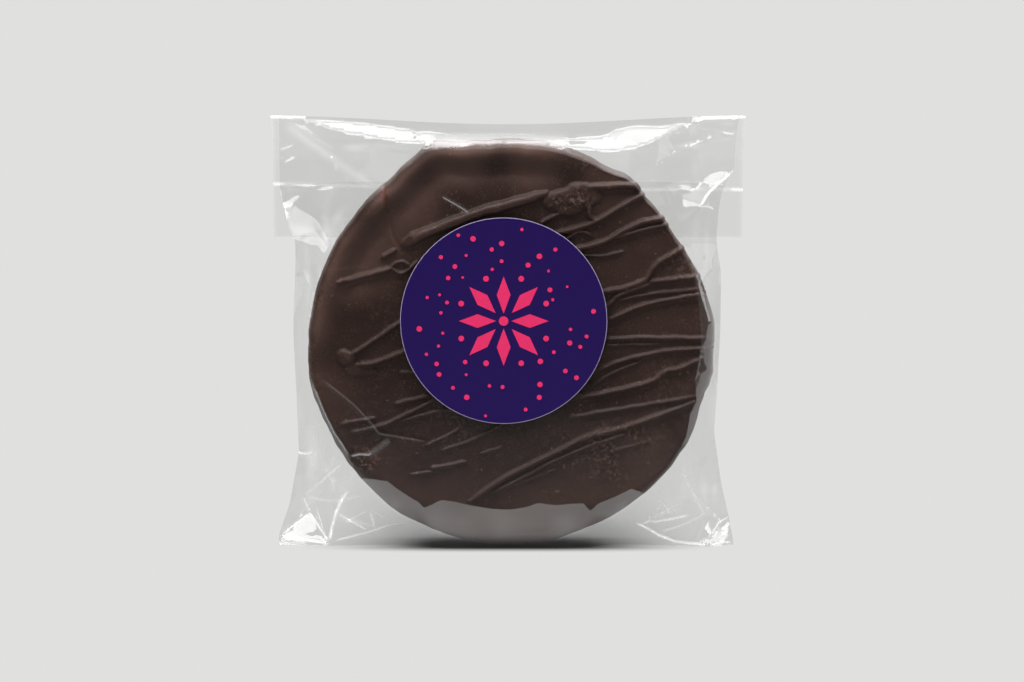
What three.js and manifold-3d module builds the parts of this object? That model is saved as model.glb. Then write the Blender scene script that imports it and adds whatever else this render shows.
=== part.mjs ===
// Chocolate-coated alfajor in a clear bag, standing on its rim. Millimetres, +Z up, front towards -Y.
// The bag and what it holds are one solid: the film is taut over the cookie's two faces, runs out to
// the bag's side folds and bottom corners, and its flap is folded over the top and down the back.
import * as THREE from 'three';
import { mergeVertices } from 'three/addons/utils/BufferGeometryUtils.js';
import Module from 'manifold-3d';

// Bag
const BAG_HEIGHT = 81.8; // floor to the ends of the top fold
const BAG_HALF_WAIST = 39.7; // half width where the side folds are pulled in
const BAG_SIDE_BULGE = 0.9; // the side folds bow out again beside the cookie
const BAG_BOTTOM_FLARE = 3.7; // how far the bottom corners stand out past the waist
const BAG_TOP_FLARE = 4.6; // the same at the top corners
const BOTTOM_FLARE_CURVE = 1.6; // powers by which the flares open
const TOP_FLARE_CURVE = 1.2;
const WAIST_LOW = 19; // the waist runs between these heights
const WAIST_HIGH = 57;
const FOLD_SAG = 1.6; // the top fold hangs down this much in the middle
const FOLD_DEPTH = 3; // the top fold lies this far behind the middle of the cookie
const FOLD_LEAN_FROM = 60; // the side folds lean back to it from this height
const SIDE_FOLD_HALF = 0.5; // half thickness of the pressed side folds
const FILM_HOLLOW = 0.06; // how far the film hollows between the cookie and the folds, of its length
const PLEAT_DEPTH = 0.45;
const PLEAT_FULL = 15; // pleats reach their full depth where the film is this wide
const PLEATS_AROUND = [11, 17]; // two sets of pleats, by their number round the bag

// Flap
const FLAP_WIDTH = 90;
const FLAP_BOTTOM = 58.2; // height of the flap's free edge
const FLAP_THICKNESS = 0.7;
const FLAP_SINK = 0.25; // the flap is pressed this far into the back where it is stuck down
const FLAP_LIFT = 0.35; // its free edge stands off by this much
const FLAP_MEETS_BACK = 73; // it lies against the cookie's back from here down
const FLAP_BEND = 76.5; // above this height it leans forward to the fold
const FLAP_BEND_IN = 0.6; // and here it has come forward by this much

// Cookie
const COOKIE_X = 0.5; // centre of the disc
const COOKIE_Z = 39.2;
const COOKIE_RADIUS = 38.3;
const RIM_WAVES = [ // uneven outline: swing and shift of the waves that run once to four times round
  { swing: 0.35, shift: 1.86 },
  { swing: 0.32, shift: 2.68 },
  { swing: 0.32, shift: 0.68 },
  { swing: 0.2, shift: 0 },
];
const RIM_BUMPS = [ // bumps and dents of the rim: direction and width in degrees, and height
  { at: 112, width: 6, lift: 1.7 },
  { at: 54, width: 4, lift: 0.9 },
  { at: 7, width: 5, lift: 0.4 },
  { at: 31, width: 7, lift: -0.5 },
  { at: 97, width: 4, lift: -0.4 },
  { at: 190, width: 6, lift: 0.3 },
  { at: 237, width: 6, lift: 0.35 },
  { at: 341, width: 5, lift: -0.6 },
];
const FACE_DEPTH = 8.5; // the face's film lies this far in front of the middle, the back's behind
const RIM_ROUND_TOP = 3; // rounding between face and rim, at the top and at the bottom
const RIM_ROUND_BOTTOM = 5;
const FOOT_HALF_WIDTH = 9; // flat spot that the bag stands on
const FOOT_HALF_DEPTH = 5.5;
const FOOT_FADE = 2.5; // it has narrowed to the side folds at this many half widths
const LIP_TURN = 2.2; // a rounded lip runs along the face about this direction, upper left
const LIP_HEIGHT = 0.3;
const LIP_INSET = 2.4; // its crest lies this far in from the rim
const LIP_SPREAD = 1.8;
const TROUGH_DEPTH = 0.5; // hollow inside the lip
const TROUGH_INSET = 6;
const TROUGH_SPREAD = 2;

// Label
const LABEL_X = -0.8;
const LABEL_Z = 43.8;
const LABEL_RADIUS = 19.4;
const LABEL_THICKNESS = 0.45;
const LABEL_GAP = 0.35;

// Drizzle: each strand runs from one point of the face to another and bows sideways by `bow`
const STRAND_SINK = 0.2; // a strand's axis lies this deep in the face
const STRAND_DIVE = 0.15; // share of its length in which each end sinks in
const STRAND_LIFT = 0.25; // its crest stands off the face by this and a share of its width
const STRAND_LIFT_BY_WIDTH = 0.2;
const STRANDS = [
  { from: [-18.7, 58.4], to: [7.5, 67.8], bow: 0.8, width: 2.2 },
  { from: [16.8, 68.7], to: [22.6, 68.8], bow: 0.6, width: 1.5 },
  { from: [9.4, 60.6], to: [24.6, 66.8], bow: -0.8, width: 1.4 },
  { from: [13, 57.5], to: [28.3, 62.4], bow: 0.4, width: 1.4 },
  { from: [19, 49.6], to: [31.4, 56.3], bow: -1.6, width: 1.4 },
  { from: [19.5, 46.2], to: [34, 51.8], bow: 0.4, width: 1.2 },
  { from: [20.3, 44.2], to: [35.2, 48.6], bow: 0.8, width: 1.2 },
  { from: [19.6, 40.3], to: [37, 40.4], bow: 0.3, width: 1.2 },
  { from: [17.5, 34], to: [37, 38.5], bow: 0.6, width: 1.2 },
  { from: [15, 29.6], to: [36.2, 36.8], bow: -0.6, width: 1.3 },
  { from: [12, 25.4], to: [34.8, 29.5], bow: 0.2, width: 1.1 },
  { from: [-7.2, 9.5], to: [34.6, 28.1], bow: 1.7, width: 1.3 },
  { from: [-5.6, 8.5], to: [24.8, 21.3], bow: 0.8, width: 1 },
  { from: [-31.8, 50.7], to: [-19.8, 53.8], bow: 0.2, width: 1.6 },
  { from: [-30.9, 37], to: [-20.8, 43.2], bow: 0.2, width: 1.4 },
  { from: [-29.6, 35.5], to: [-20.3, 38], bow: -0.2, width: 1.6 },
  { from: [-30.6, 21.8], to: [-14.3, 28], bow: 0.3, width: 1.2 },
  { from: [-21, 23.8], to: [-8, 24], bow: 0.3, width: 1.1 },
  { from: [-19.9, 16], to: [-7.1, 17.1], bow: -0.2, width: 1.2 },
];
// Pools where the drizzle fell thickest: length along its strand, width and lift off the face
const POOLS = [
  { at: [12.3, 67.4], length: 11, width: 4.2, lift: 0.7, turn: 10 },
  { at: [-18.9, 58.2], length: 3, width: 2.6, lift: 0.6, turn: 15 },
  { at: [-29.5, 36], length: 5.5, width: 3.2, lift: 0.6, turn: -20 },
];

// Fineness
const TURN_STEPS = 96;
const FACE_RINGS = 6;
const FACE_CROWDING = 0.7; // power that sets the face's rings closer towards its edge
const ROUND_STEPS = 4;
const FILM_RINGS = 5;
const STRAND_STEP = 2.5; // length of one step along a strand

const CHOCOLATE_IN_FILM = new THREE.MeshStandardMaterial({ color: 0x38251f, roughness: 0.35, metalness: 0 });
const VIOLET_PAPER = new THREE.MeshStandardMaterial({ color: 0x2c1854, roughness: 0.5, metalness: 0 });

const wasm = await Module();
wasm.setup();

/** Makes a solid of a closed three.js geometry. */
function toSolid(geometry) {
  geometry.deleteAttribute('normal');
  geometry.deleteAttribute('uv');
  const merged = mergeVertices(geometry, 1e-4);
  const corners = merged.index.array;
  const kept = [];
  for (let i = 0; i < corners.length; i += 3) {
    const [a, b, c] = corners.slice(i, i + 3);
    if (a !== b && b !== c && c !== a) kept.push(a, b, c);
  }
  const vertProperties = Float32Array.from(merged.attributes.position.array);
  return new wasm.Manifold(new wasm.Mesh({ numProp: 3, vertProperties, triVerts: Uint32Array.from(kept) }));
}

/** Turns a solid back into a geometry. */
function toGeometry(body) {
  const mesh = body.getMesh();
  const geometry = new THREE.BufferGeometry();
  geometry.setAttribute('position', new THREE.BufferAttribute(mesh.vertProperties, 3));
  geometry.setIndex(new THREE.BufferAttribute(mesh.triVerts, 1));
  geometry.computeVertexNormals();
  return geometry;
}

/** Moves every vertex of a geometry to the place that `move` gives for it. */
function reshape(geometry, move) {
  const place = geometry.attributes.position;
  for (let i = 0; i < place.count; i += 1) {
    const moved = move(new THREE.Vector3().fromBufferAttribute(place, i));
    place.setXYZ(i, moved.x, moved.y, moved.z);
  }
  return geometry;
}

const smooth = (low, high, value) => THREE.MathUtils.smoothstep(value, low, high);
const mix = THREE.MathUtils.lerp;

/** Uneven outline of the cookie: radius in the direction `turn`, counted from +X towards +Z. */
function cookieRadius(turn) {
  const degrees = THREE.MathUtils.euclideanModulo(THREE.MathUtils.radToDeg(turn), 360);
  let radius = COOKIE_RADIUS;
  RIM_WAVES.forEach(({ swing, shift }, i) => {
    radius += swing * Math.cos((i + 1) * turn + shift);
  });
  RIM_BUMPS.forEach(({ at, width, lift }) => {
    radius += lift * Math.exp(-(((degrees - at) / width) ** 2));
  });
  return radius;
}

/** Rounding between the front face and the rim, larger at the bottom than at the top. */
function rimRound(turn) {
  return mix(RIM_ROUND_TOP, RIM_ROUND_BOTTOM, smooth(0, 1, -Math.sin(turn)));
}

/** Height of the face's relief over its plane: the lip and the hollow inside it, upper left. */
function faceRelief(radius, turn, edge) {
  const upperLeft = smooth(-0.2, 0.6, Math.cos(turn - LIP_TURN));
  const inset = edge - radius;
  const lip = LIP_HEIGHT * Math.exp(-(((inset - LIP_INSET) / LIP_SPREAD) ** 2));
  const trough = TROUGH_DEPTH * Math.exp(-(((inset - TROUGH_INSET) / TROUGH_SPREAD) ** 2));
  return upperLeft * (lip - trough);
}

/** Half width of the bag at a height: pulled in beside the cookie, flared at top and bottom. */
function bagHalfWidth(height) {
  const low = Math.max(1 - height / WAIST_LOW, 0) ** BOTTOM_FLARE_CURVE;
  const high = Math.max((height - WAIST_HIGH) / (BAG_HEIGHT - WAIST_HIGH), 0) ** TOP_FLARE_CURVE;
  const between = THREE.MathUtils.clamp((height - WAIST_LOW) / (WAIST_HIGH - WAIST_LOW), 0, 1);
  const bulge = BAG_SIDE_BULGE * Math.sin(Math.PI * between) ** 2;
  return BAG_HALF_WAIST + bulge + BAG_BOTTOM_FLARE * low + BAG_TOP_FLARE * high;
}

/** How far the top fold hangs below its ends. */
function foldSag(x) {
  return FOLD_SAG * Math.cos(Math.PI * THREE.MathUtils.clamp(x / FLAP_WIDTH, -0.5, 0.5)) ** 2;
}

/** Point of the bag's outline in the direction `turn` from the cookie's centre. */
function bagOutline(turn) {
  const aim = new THREE.Vector2(Math.cos(turn), Math.sin(turn));
  let [near, far] = [COOKIE_RADIUS / 2, BAG_HEIGHT];
  for (let i = 0; i < 40; i += 1) {
    const reach = (near + far) / 2;
    const x = COOKIE_X + reach * aim.x;
    const z = COOKIE_Z + reach * aim.y;
    const inside = z > 0 && z < BAG_HEIGHT - foldSag(x) && Math.abs(x) < bagHalfWidth(z);
    if (inside) near = reach;
    else far = reach;
  }
  return near;
}

/** Half thickness of the fold: pressed flat, but as wide as the cookie's foot where that stands. */
function foldHalfThickness(turn) {
  const fromFoot = Math.abs(COOKIE_Z / Math.tan(turn));
  const onFoot = Math.sin(turn) < 0 ? 1 - smooth(FOOT_HALF_WIDTH, FOOT_FADE * FOOT_HALF_WIDTH, fromFoot) : 0;
  return mix(SIDE_FOLD_HALF, FOOT_HALF_DEPTH, onFoot);
}

/** Directions that the film's rings use: evenly spaced, with one through each corner of the bag. */
function filmTurns() {
  const cornerX = [bagHalfWidth(BAG_HEIGHT), -bagHalfWidth(BAG_HEIGHT), -bagHalfWidth(0), bagHalfWidth(0)];
  const cornerZ = [BAG_HEIGHT, BAG_HEIGHT, 0, 0];
  const corners = cornerX.map((x, i) => Math.atan2(cornerZ[i] - COOKIE_Z, x - COOKIE_X));
  const turns = [];
  for (let i = 0; i < 4; i += 1) {
    const from = corners[i];
    const to = corners[(i + 1) % 4];
    const span = THREE.MathUtils.euclideanModulo(to - from, 2 * Math.PI);
    const steps = TURN_STEPS / 4;
    for (let k = 0; k < steps; k += 1) turns.push(from + span * k / steps);
  }
  return turns;
}

/** Where the taut film leaves the rim's rounding on its way to the bag's fold, as an angle off the face. */
function filmLeaves(round, outward, inward) {
  const distance = Math.hypot(outward, inward);
  if (distance <= round) return Math.PI / 2;
  return Math.min(Math.atan2(outward, -inward) - Math.acos(round / distance), Math.PI / 2);
}

/** The bag over the cookie: faces, rounded rims, then film out to the folds, front and back. */
function bagBody() {
  // The lathe's radius counts stations from the face's centre to the fold, and its height tells the
  // side: reshape() turns both into sizes.
  const stations = [];
  for (let i = 0; i <= FACE_RINGS + ROUND_STEPS + FILM_RINGS; i += 1) stations.push(new THREE.Vector2(i, -1));
  const profile = [...stations, ...stations.map((p) => new THREE.Vector2(p.x, 1)).reverse()];
  const turns = filmTurns();
  return toSolid(reshape(new THREE.LatheGeometry(profile, turns.length), (p) => {
    const station = Math.hypot(p.x, p.z);
    const count = Math.round(Math.atan2(p.z, p.x) / (2 * Math.PI) * turns.length);
    const turn = turns[THREE.MathUtils.euclideanModulo(count, turns.length)];
    const side = p.y;
    const round = side < 0 ? rimRound(turn) : RIM_ROUND_TOP;
    const edge = cookieRadius(turn) - round;
    const reach = bagOutline(turn);
    const foldHalf = foldHalfThickness(turn);
    const middle = FOLD_DEPTH * smooth(FOLD_LEAN_FROM, BAG_HEIGHT, COOKIE_Z + reach * Math.sin(turn));
    const foldDepth = side * middle + foldHalf;
    const leaves = filmLeaves(round, reach - edge, FACE_DEPTH - round - foldDepth);

    const inFace = Math.min(station / FACE_RINGS, 1) ** FACE_CROWDING;
    const inRound = THREE.MathUtils.clamp((station - FACE_RINGS) / ROUND_STEPS, 0, 1);
    const inFilm = THREE.MathUtils.clamp((station - FACE_RINGS - ROUND_STEPS) / FILM_RINGS, 0, 1);
    const bend = leaves * inRound;
    const rimRadius = edge * inFace + round * Math.sin(bend);
    const rimDepth = FACE_DEPTH - round * (1 - Math.cos(bend));
    const relief = side < 0 ? faceRelief(rimRadius, turn, edge + round) * (1 - inFilm) : 0;
    const radius = mix(rimRadius, reach, inFilm);
    const hollow = FILM_HOLLOW * (reach - rimRadius) * Math.sin(Math.PI * inFilm);
    const pleats = Math.sin(PLEATS_AROUND[0] * turn + side) + Math.sin(PLEATS_AROUND[1] * turn);
    const pleatDepth = PLEAT_DEPTH * Math.min((reach - edge) / PLEAT_FULL, 1);
    const pleat = pleatDepth * pleats * Math.sin(Math.PI * inFilm);
    const depth = mix(rimDepth, foldDepth, inFilm) - hollow - pleat + relief;
    return new THREE.Vector3(
      COOKIE_X + radius * Math.cos(turn),
      side * depth,
      COOKIE_Z + radius * Math.sin(turn),
    );
  }));
}

/** The flap: a stiff sheet that leaves the top fold, passes the cookie's back edge and hangs down. */
function flapBody() {
  const back = FACE_DEPTH - FLAP_SINK;
  const inner = [
    new THREE.Vector2(FOLD_DEPTH - FLAP_THICKNESS / 2, BAG_HEIGHT - FLAP_THICKNESS),
    new THREE.Vector2(back - FLAP_BEND_IN, FLAP_BEND),
    new THREE.Vector2(back, FLAP_MEETS_BACK),
    new THREE.Vector2(back, FLAP_BOTTOM),
  ];
  const outer = inner.map((p) => new THREE.Vector2(p.x + FLAP_THICKNESS, p.y));
  outer[0].set(FOLD_DEPTH + FLAP_THICKNESS / 4, BAG_HEIGHT);
  outer[3].x += FLAP_LIFT;
  const section = new THREE.Shape([...inner, ...outer.reverse()]);
  const sheet = new THREE.ExtrudeGeometry(section, { depth: FLAP_WIDTH, steps: 18, bevelEnabled: false });
  return toSolid(reshape(sheet, (p) => {
    const x = FLAP_WIDTH / 2 - p.z;
    const drop = foldSag(x) * smooth(FLAP_BOTTOM, BAG_HEIGHT, p.y);
    return new THREE.Vector3(-x, p.x, p.y - drop);
  }));
}

/** A strand of drizzle: a rounded bead along a bowed path, whose two ends sink into the face. */
function strandBody({ from, to, bow, width }) {
  const start = new THREE.Vector2(...from);
  const along = new THREE.Vector2(...to).sub(start);
  const aside = new THREE.Vector2(-along.y, along.x).normalize().multiplyScalar(bow);
  const crest = STRAND_LIFT + STRAND_LIFT_BY_WIDTH * width + STRAND_SINK;
  const points = [0, 0.25, 0.5, 0.75, 1].map((t) => {
    const place = start.clone().addScaledVector(along, t).addScaledVector(aside, Math.sin(Math.PI * t));
    return new THREE.Vector3(place.x, STRAND_SINK - FACE_DEPTH, place.y);
  });
  const section = new THREE.Shape(Array.from({ length: 6 }, (_, i) => {
    const turn = (i + 0.5) / 6 * 2 * Math.PI;
    return new THREE.Vector2(crest * Math.cos(turn), width / 2 * Math.sin(turn));
  }));
  const steps = Math.max(Math.round(along.length() / STRAND_STEP), 6);
  const bead = new THREE.ExtrudeGeometry(section, { steps, extrudePath: new THREE.CatmullRomCurve3(points) });
  return toSolid(reshape(bead, (p) => {
    const t = new THREE.Vector2(p.x, p.z).sub(start).dot(along) / along.lengthSq();
    const dive = 1 - smooth(0, STRAND_DIVE, t) * smooth(0, STRAND_DIVE, 1 - t);
    return new THREE.Vector3(p.x, p.y + dive * crest, p.z);
  }));
}

/** A pool of drizzle: a flattened ball half sunk in the face. */
function poolBody({ at, length, width, lift, turn }) {
  const ball = new THREE.SphereGeometry(0.5, 16, 8);
  ball.scale(length, 2 * lift, width);
  ball.rotateY(THREE.MathUtils.degToRad(-turn));
  ball.translate(at[0], -FACE_DEPTH, at[1]);
  return toSolid(ball);
}

/** Bag, flap, cookie and drizzle as one solid. */
function baggedAlfajor() {
  const beads = [...STRANDS.map(strandBody), ...POOLS.map(poolBody)];
  return beads.reduce((sum, bead) => sum.add(bead), bagBody().add(flapBody()));
}

/** Round paper label on the front of the bag. */
function label() {
  const disc = new THREE.CylinderGeometry(LABEL_RADIUS, LABEL_RADIUS, LABEL_THICKNESS, 64);
  disc.translate(LABEL_X, -(FACE_DEPTH + LABEL_GAP + LABEL_THICKNESS / 2), LABEL_Z);
  return toSolid(disc);
}

const group = new THREE.Group();

const bagMesh = new THREE.Mesh(toGeometry(baggedAlfajor()), CHOCOLATE_IN_FILM);
bagMesh.name = 'bagged_alfajor';
group.add(bagMesh);

const labelMesh = new THREE.Mesh(toGeometry(label()), VIOLET_PAPER);
labelMesh.name = 'label';
group.add(labelMesh);

export default group;
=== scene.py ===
"""Chocolate alfajor in a clear film bag, standing on its rim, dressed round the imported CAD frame.

Shapes are worked out in millimetres with +Z up and the labelled face towards -Y, as in the frame,
and turned into metres where a mesh is made. "Out" is a distance from the middle plane, y = 0,
towards the wall or face in question.
"""
import math

import bpy
import numpy as np
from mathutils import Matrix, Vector
from mathutils.geometry import delaunay_2d_cdt


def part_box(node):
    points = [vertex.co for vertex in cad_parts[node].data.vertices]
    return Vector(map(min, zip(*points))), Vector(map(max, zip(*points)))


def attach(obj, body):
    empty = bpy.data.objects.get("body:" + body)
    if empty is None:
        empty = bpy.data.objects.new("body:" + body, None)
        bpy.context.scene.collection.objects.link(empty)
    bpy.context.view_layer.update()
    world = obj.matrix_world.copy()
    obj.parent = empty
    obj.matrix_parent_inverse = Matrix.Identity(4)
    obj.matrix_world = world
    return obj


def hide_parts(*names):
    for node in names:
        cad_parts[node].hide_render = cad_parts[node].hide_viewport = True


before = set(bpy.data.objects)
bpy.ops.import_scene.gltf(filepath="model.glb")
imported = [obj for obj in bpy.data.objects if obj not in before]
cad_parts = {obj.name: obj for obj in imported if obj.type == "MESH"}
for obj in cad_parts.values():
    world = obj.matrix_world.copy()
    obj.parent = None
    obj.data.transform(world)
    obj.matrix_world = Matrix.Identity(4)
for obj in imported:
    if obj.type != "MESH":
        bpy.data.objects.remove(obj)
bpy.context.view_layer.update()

MM = 0.001

# ---- Driving dimensions, in millimetres -----------------------------------------------------------

BAG_HIGH = Vector(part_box("bagged_alfajor")[1]) / MM
BAG_HEIGHT = BAG_HIGH.z
FLAP_HALF = BAG_HIGH.x  # half the flap's width
LABEL_LOW, LABEL_HIGH = (Vector(c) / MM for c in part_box("label"))
LABEL_X = (LABEL_LOW.x + LABEL_HIGH.x) / 2
LABEL_Z = (LABEL_LOW.z + LABEL_HIGH.z) / 2
LABEL_RADIUS = (LABEL_HIGH.x - LABEL_LOW.x) / 2
LABEL_OUT = 9.0  # the label's face

COOKIE_X = 0.5
COOKIE_Z = 39.2
FACE_OUT = 7.6  # the chocolate's front face, without the drizzle on it
BACK_OUT = FACE_OUT + 0.6  # and its back face
BACK_ROUND = 3.0  # rounding between the back face and the rim
FILM_OUT = 8.75  # the film over the faces
FLOOR_GAP = 0.06  # the film lies this far above the floor
FOLD_ENDS_Z = BAG_HEIGHT - 0.1  # ends of the top fold
FOLD_Y = 3.0  # the top fold lies this far behind the middle
FOLD_SAG = 1.6  # and hangs down this far between its ends
MOUTH_Z = 68.9  # the back wall ends here, under the flap
ADHESIVE_Z = 67.9  # upper edge of the flap's adhesive strip
FLAP_BOTTOM = 58.2
FLAP_OUT = 9.1  # the flap, where it lies against the back
FOOT_OUT = 5.6  # the film under the cookie reaches this far forward and back
FOOT_HALF = 10.0  # over this half width
FOOT_END = 22.0  # and is back at the bottom fold at this one
BACK_EDGE = 2.2  # the film leaves the back face this far in from the rim


# ---- Small mathematics ----------------------------------------------------------------------------

LATTICE = 64  # nodes along each side of the random lattice, which repeats beyond them
LATTICE_X, LATTICE_Z = 17.3, 31.7  # node that the origin falls on
CURVE_STEPS = 12  # steps between two points of a curve, before it is evened out


def smooth(low, high, value):
    """0 below low, 1 above high, and an even curve between them."""
    t = np.clip((value - low) / (high - low), 0, 1)
    return t * t * (3 - 2 * t)


def noise(x, z, size, seed):
    """Smooth random field over a plane, from -1 to 1, with features about `size` across."""
    lattice = np.random.default_rng(seed).uniform(-1, 1, (LATTICE, LATTICE))
    u, v = np.asarray(x) / size + LATTICE_X, np.asarray(z) / size + LATTICE_Z
    i, j = np.floor(u).astype(int), np.floor(v).astype(int)
    fu, fv = u - i, v - j
    fu, fv = fu * fu * (3 - 2 * fu), fv * fv * (3 - 2 * fv)

    def pick(a, b):
        return lattice[a % LATTICE, b % LATTICE]

    low = pick(i, j) * (1 - fu) + pick(i + 1, j) * fu
    high = pick(i, j + 1) * (1 - fu) + pick(i + 1, j + 1) * fu
    return low * (1 - fv) + high * fv


def layered(x, z, layers):
    """Sum of random fields, each given by its height, size and seed."""
    return sum(height * noise(x, z, size, seed) for height, size, seed in layers)


def averaged(table, places):
    """Columns of a table, each averaged over a few places so that the table's corners are eased."""
    table = np.array(table, float)
    return [sum(np.interp(at, table[:, 0], column) for at in places) / len(places)
            for column in table[:, 1:].T]


def from_centre(x, z):
    """Direction and distance of places from the cookie's centre."""
    return np.arctan2(z - COOKIE_Z, x - COOKIE_X), np.hypot(x - COOKIE_X, z - COOKIE_Z)


def curve_through(points, step):
    """Evenly spaced places on a Catmull-Rom curve through `points`."""
    p = np.array(points, float)
    p = np.vstack([2 * p[0] - p[1], p, 2 * p[-1] - p[-2]])
    out = []
    for a, b, c, d in zip(p, p[1:], p[2:], p[3:]):
        t = np.linspace(0, 1, CURVE_STEPS + 1)[:-1, None]
        out.append(0.5 * (2 * b + (c - a) * t + (2 * a - 5 * b + 4 * c - d) * t ** 2
                          + (3 * b - a - 3 * c + d) * t ** 3))
    return resample(np.vstack(out + [p[-2][None]]), step)


def resample(path, step):
    """Places about `step` apart along straight lines through the points of a path."""
    path = np.array(path, float)
    length = np.r_[0, np.cumsum(np.hypot(*np.diff(path[:, :2], axis=0).T))]
    at = np.linspace(0, length[-1], max(int(round(length[-1] / step)), 1) + 1)
    return np.stack([np.interp(at, length, column) for column in path.T], 1)


def near_path(x, z, path):
    """Distance from each place to a path, and how far along it the nearest point lies, from 0 to 1."""
    best = np.full(x.shape, 1e9)
    where = np.zeros(x.shape)
    count = len(path) - 1
    for k in range(count):
        ax, az = path[k][:2]
        bx, bz = path[k + 1][:2]
        ux, uz = bx - ax, bz - az
        t = np.clip(((x - ax) * ux + (z - az) * uz) / (ux * ux + uz * uz + 1e-9), 0, 1)
        d = np.hypot(x - ax - t * ux, z - az - t * uz)
        closer = d < best
        best[closer] = d[closer]
        where[closer] = (k + t[closer]) / count
    return best, where


# ---- Meshes ---------------------------------------------------------------------------------------

def mesh_piece(name, points, faces, materials, smooth_faces=True):
    """A mesh piece from points in millimetres, riding on the frame."""
    mesh = bpy.data.meshes.new(name)
    mesh.from_pydata((np.asarray(points, float) * MM).tolist(), [], [list(map(int, f)) for f in faces])
    mesh.polygons.foreach_set("use_smooth", [smooth_faces] * len(mesh.polygons))
    for material in materials:
        mesh.materials.append(material)
    mesh.update()
    piece = bpy.data.objects.new(name, mesh)
    bpy.context.scene.collection.objects.link(piece)
    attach(piece, "root")
    return piece


def ring_faces(rings, columns, flip=False):
    """Quads between rings of `columns` points each, closed round."""
    k = np.arange(columns)
    k2 = (k + 1) % columns
    rows = []
    for r in range(rings - 1):
        a, b = r * columns, (r + 1) * columns
        quad = np.c_[a + k, a + k2, b + k2, b + k]
        rows.append(quad[:, ::-1] if flip else quad)
    return np.vstack(rows)


def add_attribute(piece, name, values):
    layer = piece.data.attributes.new(name, "FLOAT", "POINT")
    layer.data.foreach_set("value", np.asarray(values, np.float32))


# ---- Materials ------------------------------------------------------------------------------------

def new_material(name):
    material = bpy.data.materials.new(name)
    material.use_nodes = True
    tree = material.node_tree
    tree.nodes.clear()
    return material, tree


def node(tree, kind, inputs=None, **settings):
    made = tree.nodes.new(kind)
    for key, value in settings.items():
        setattr(made, key, value)
    for key, value in (inputs or {}).items():
        if isinstance(value, bpy.types.NodeSocket):
            tree.links.new(value, made.inputs[key])
        else:
            made.inputs[key].default_value = value
    return made


def math_node(tree, operation, *values, clamp=False):
    made = node(tree, "ShaderNodeMath", dict(enumerate(values)), operation=operation, use_clamp=clamp)
    return made.outputs[0]


def attribute(tree, name):
    return node(tree, "ShaderNodeAttribute", attribute_name=name).outputs["Fac"]


def noise_texture(tree, where, scale, detail, roughness):
    inputs = {"Vector": where, "Scale": scale, "Detail": detail, "Roughness": roughness}
    return node(tree, "ShaderNodeTexNoise", inputs).outputs["Fac"]


def blend_colour(tree, factor, a, b):
    mixer = node(tree, "ShaderNodeMix", data_type="RGBA")
    for index, value in ((0, factor), (6, a), (7, b)):
        if isinstance(value, bpy.types.NodeSocket):
            tree.links.new(value, mixer.inputs[index])
        else:
            mixer.inputs[index].default_value = value
    return mixer.outputs[2]


def finish_material(material, tree, surface):
    out = node(tree, "ShaderNodeOutputMaterial")
    tree.links.new(surface, out.inputs[0])
    return material


CHOCOLATE_DARK = (0.0136, 0.0050, 0.0032, 1)
CHOCOLATE_MID = (0.0228, 0.0085, 0.0058, 1)
CHOCOLATE_STRAND = (0.038, 0.0170, 0.0122, 1)
# paler brown: paler towards the rim and at the right, and painted light as a sheen on the lip and on the
# shaded coat above the floor
CHOCOLATE_PALE_AND_PAINTED_LIGHT = (0.078, 0.0405, 0.0320, 1)
CHOCOLATE_DUST = (0.095, 0.058, 0.044, 1)
FLECK_BROWN = (0.16, 0.09, 0.055, 1)
CRUMB_RED = (0.10, 0.03, 0.018, 1)
# Noise textures of the chocolate: scale, detail, roughness
CLOUDS = (90, 4, 0.5)  # its uneven brown
GRAIN = (1500, 3, 0.6)  # its fine bump, and the dust on rough patches
PORES = (2600, 4, 0.75)  # its powdery bloom
BLOOM = (420, 3, 0.5)  # where there is bloom
SUGAR = (5200, 1, 0.5)
FLECKS = (1100, 0, 0.5)
STRAND_SHARE = 0.5  # share of the drizzle's own colour in it
DUST_LEVEL = 0.55  # dust lies where the grain stands above this
BLOOM_CONTRAST, BLOOM_START = 11.0, -3.8
SUGAR_LEVEL, SUGAR_SHARE = 0.71, 0.35
FLECK_LEVEL, FLECK_SHARE = 0.82, 0.4
CHOCOLATE_ROUGH, CLOUD_ROUGH, DUST_ROUGH = 0.38, 0.2, 0.25
GRAIN_BUMP, DUST_BUMP, PORE_BUMP = 0.15, 1.2, 0.15
CHOCOLATE_BUMP, CHOCOLATE_BUMP_HEIGHT = 0.35, 0.00012
CHOCOLATE_SHEEN = 0.24


def speckled(tree, colour, texture, level, share, speck):
    """A colour with a share of another one where a texture stands above a level."""
    above = math_node(tree, "GREATER_THAN", texture, level)
    return blend_colour(tree, math_node(tree, "MULTIPLY", above, share), colour, speck)


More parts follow.
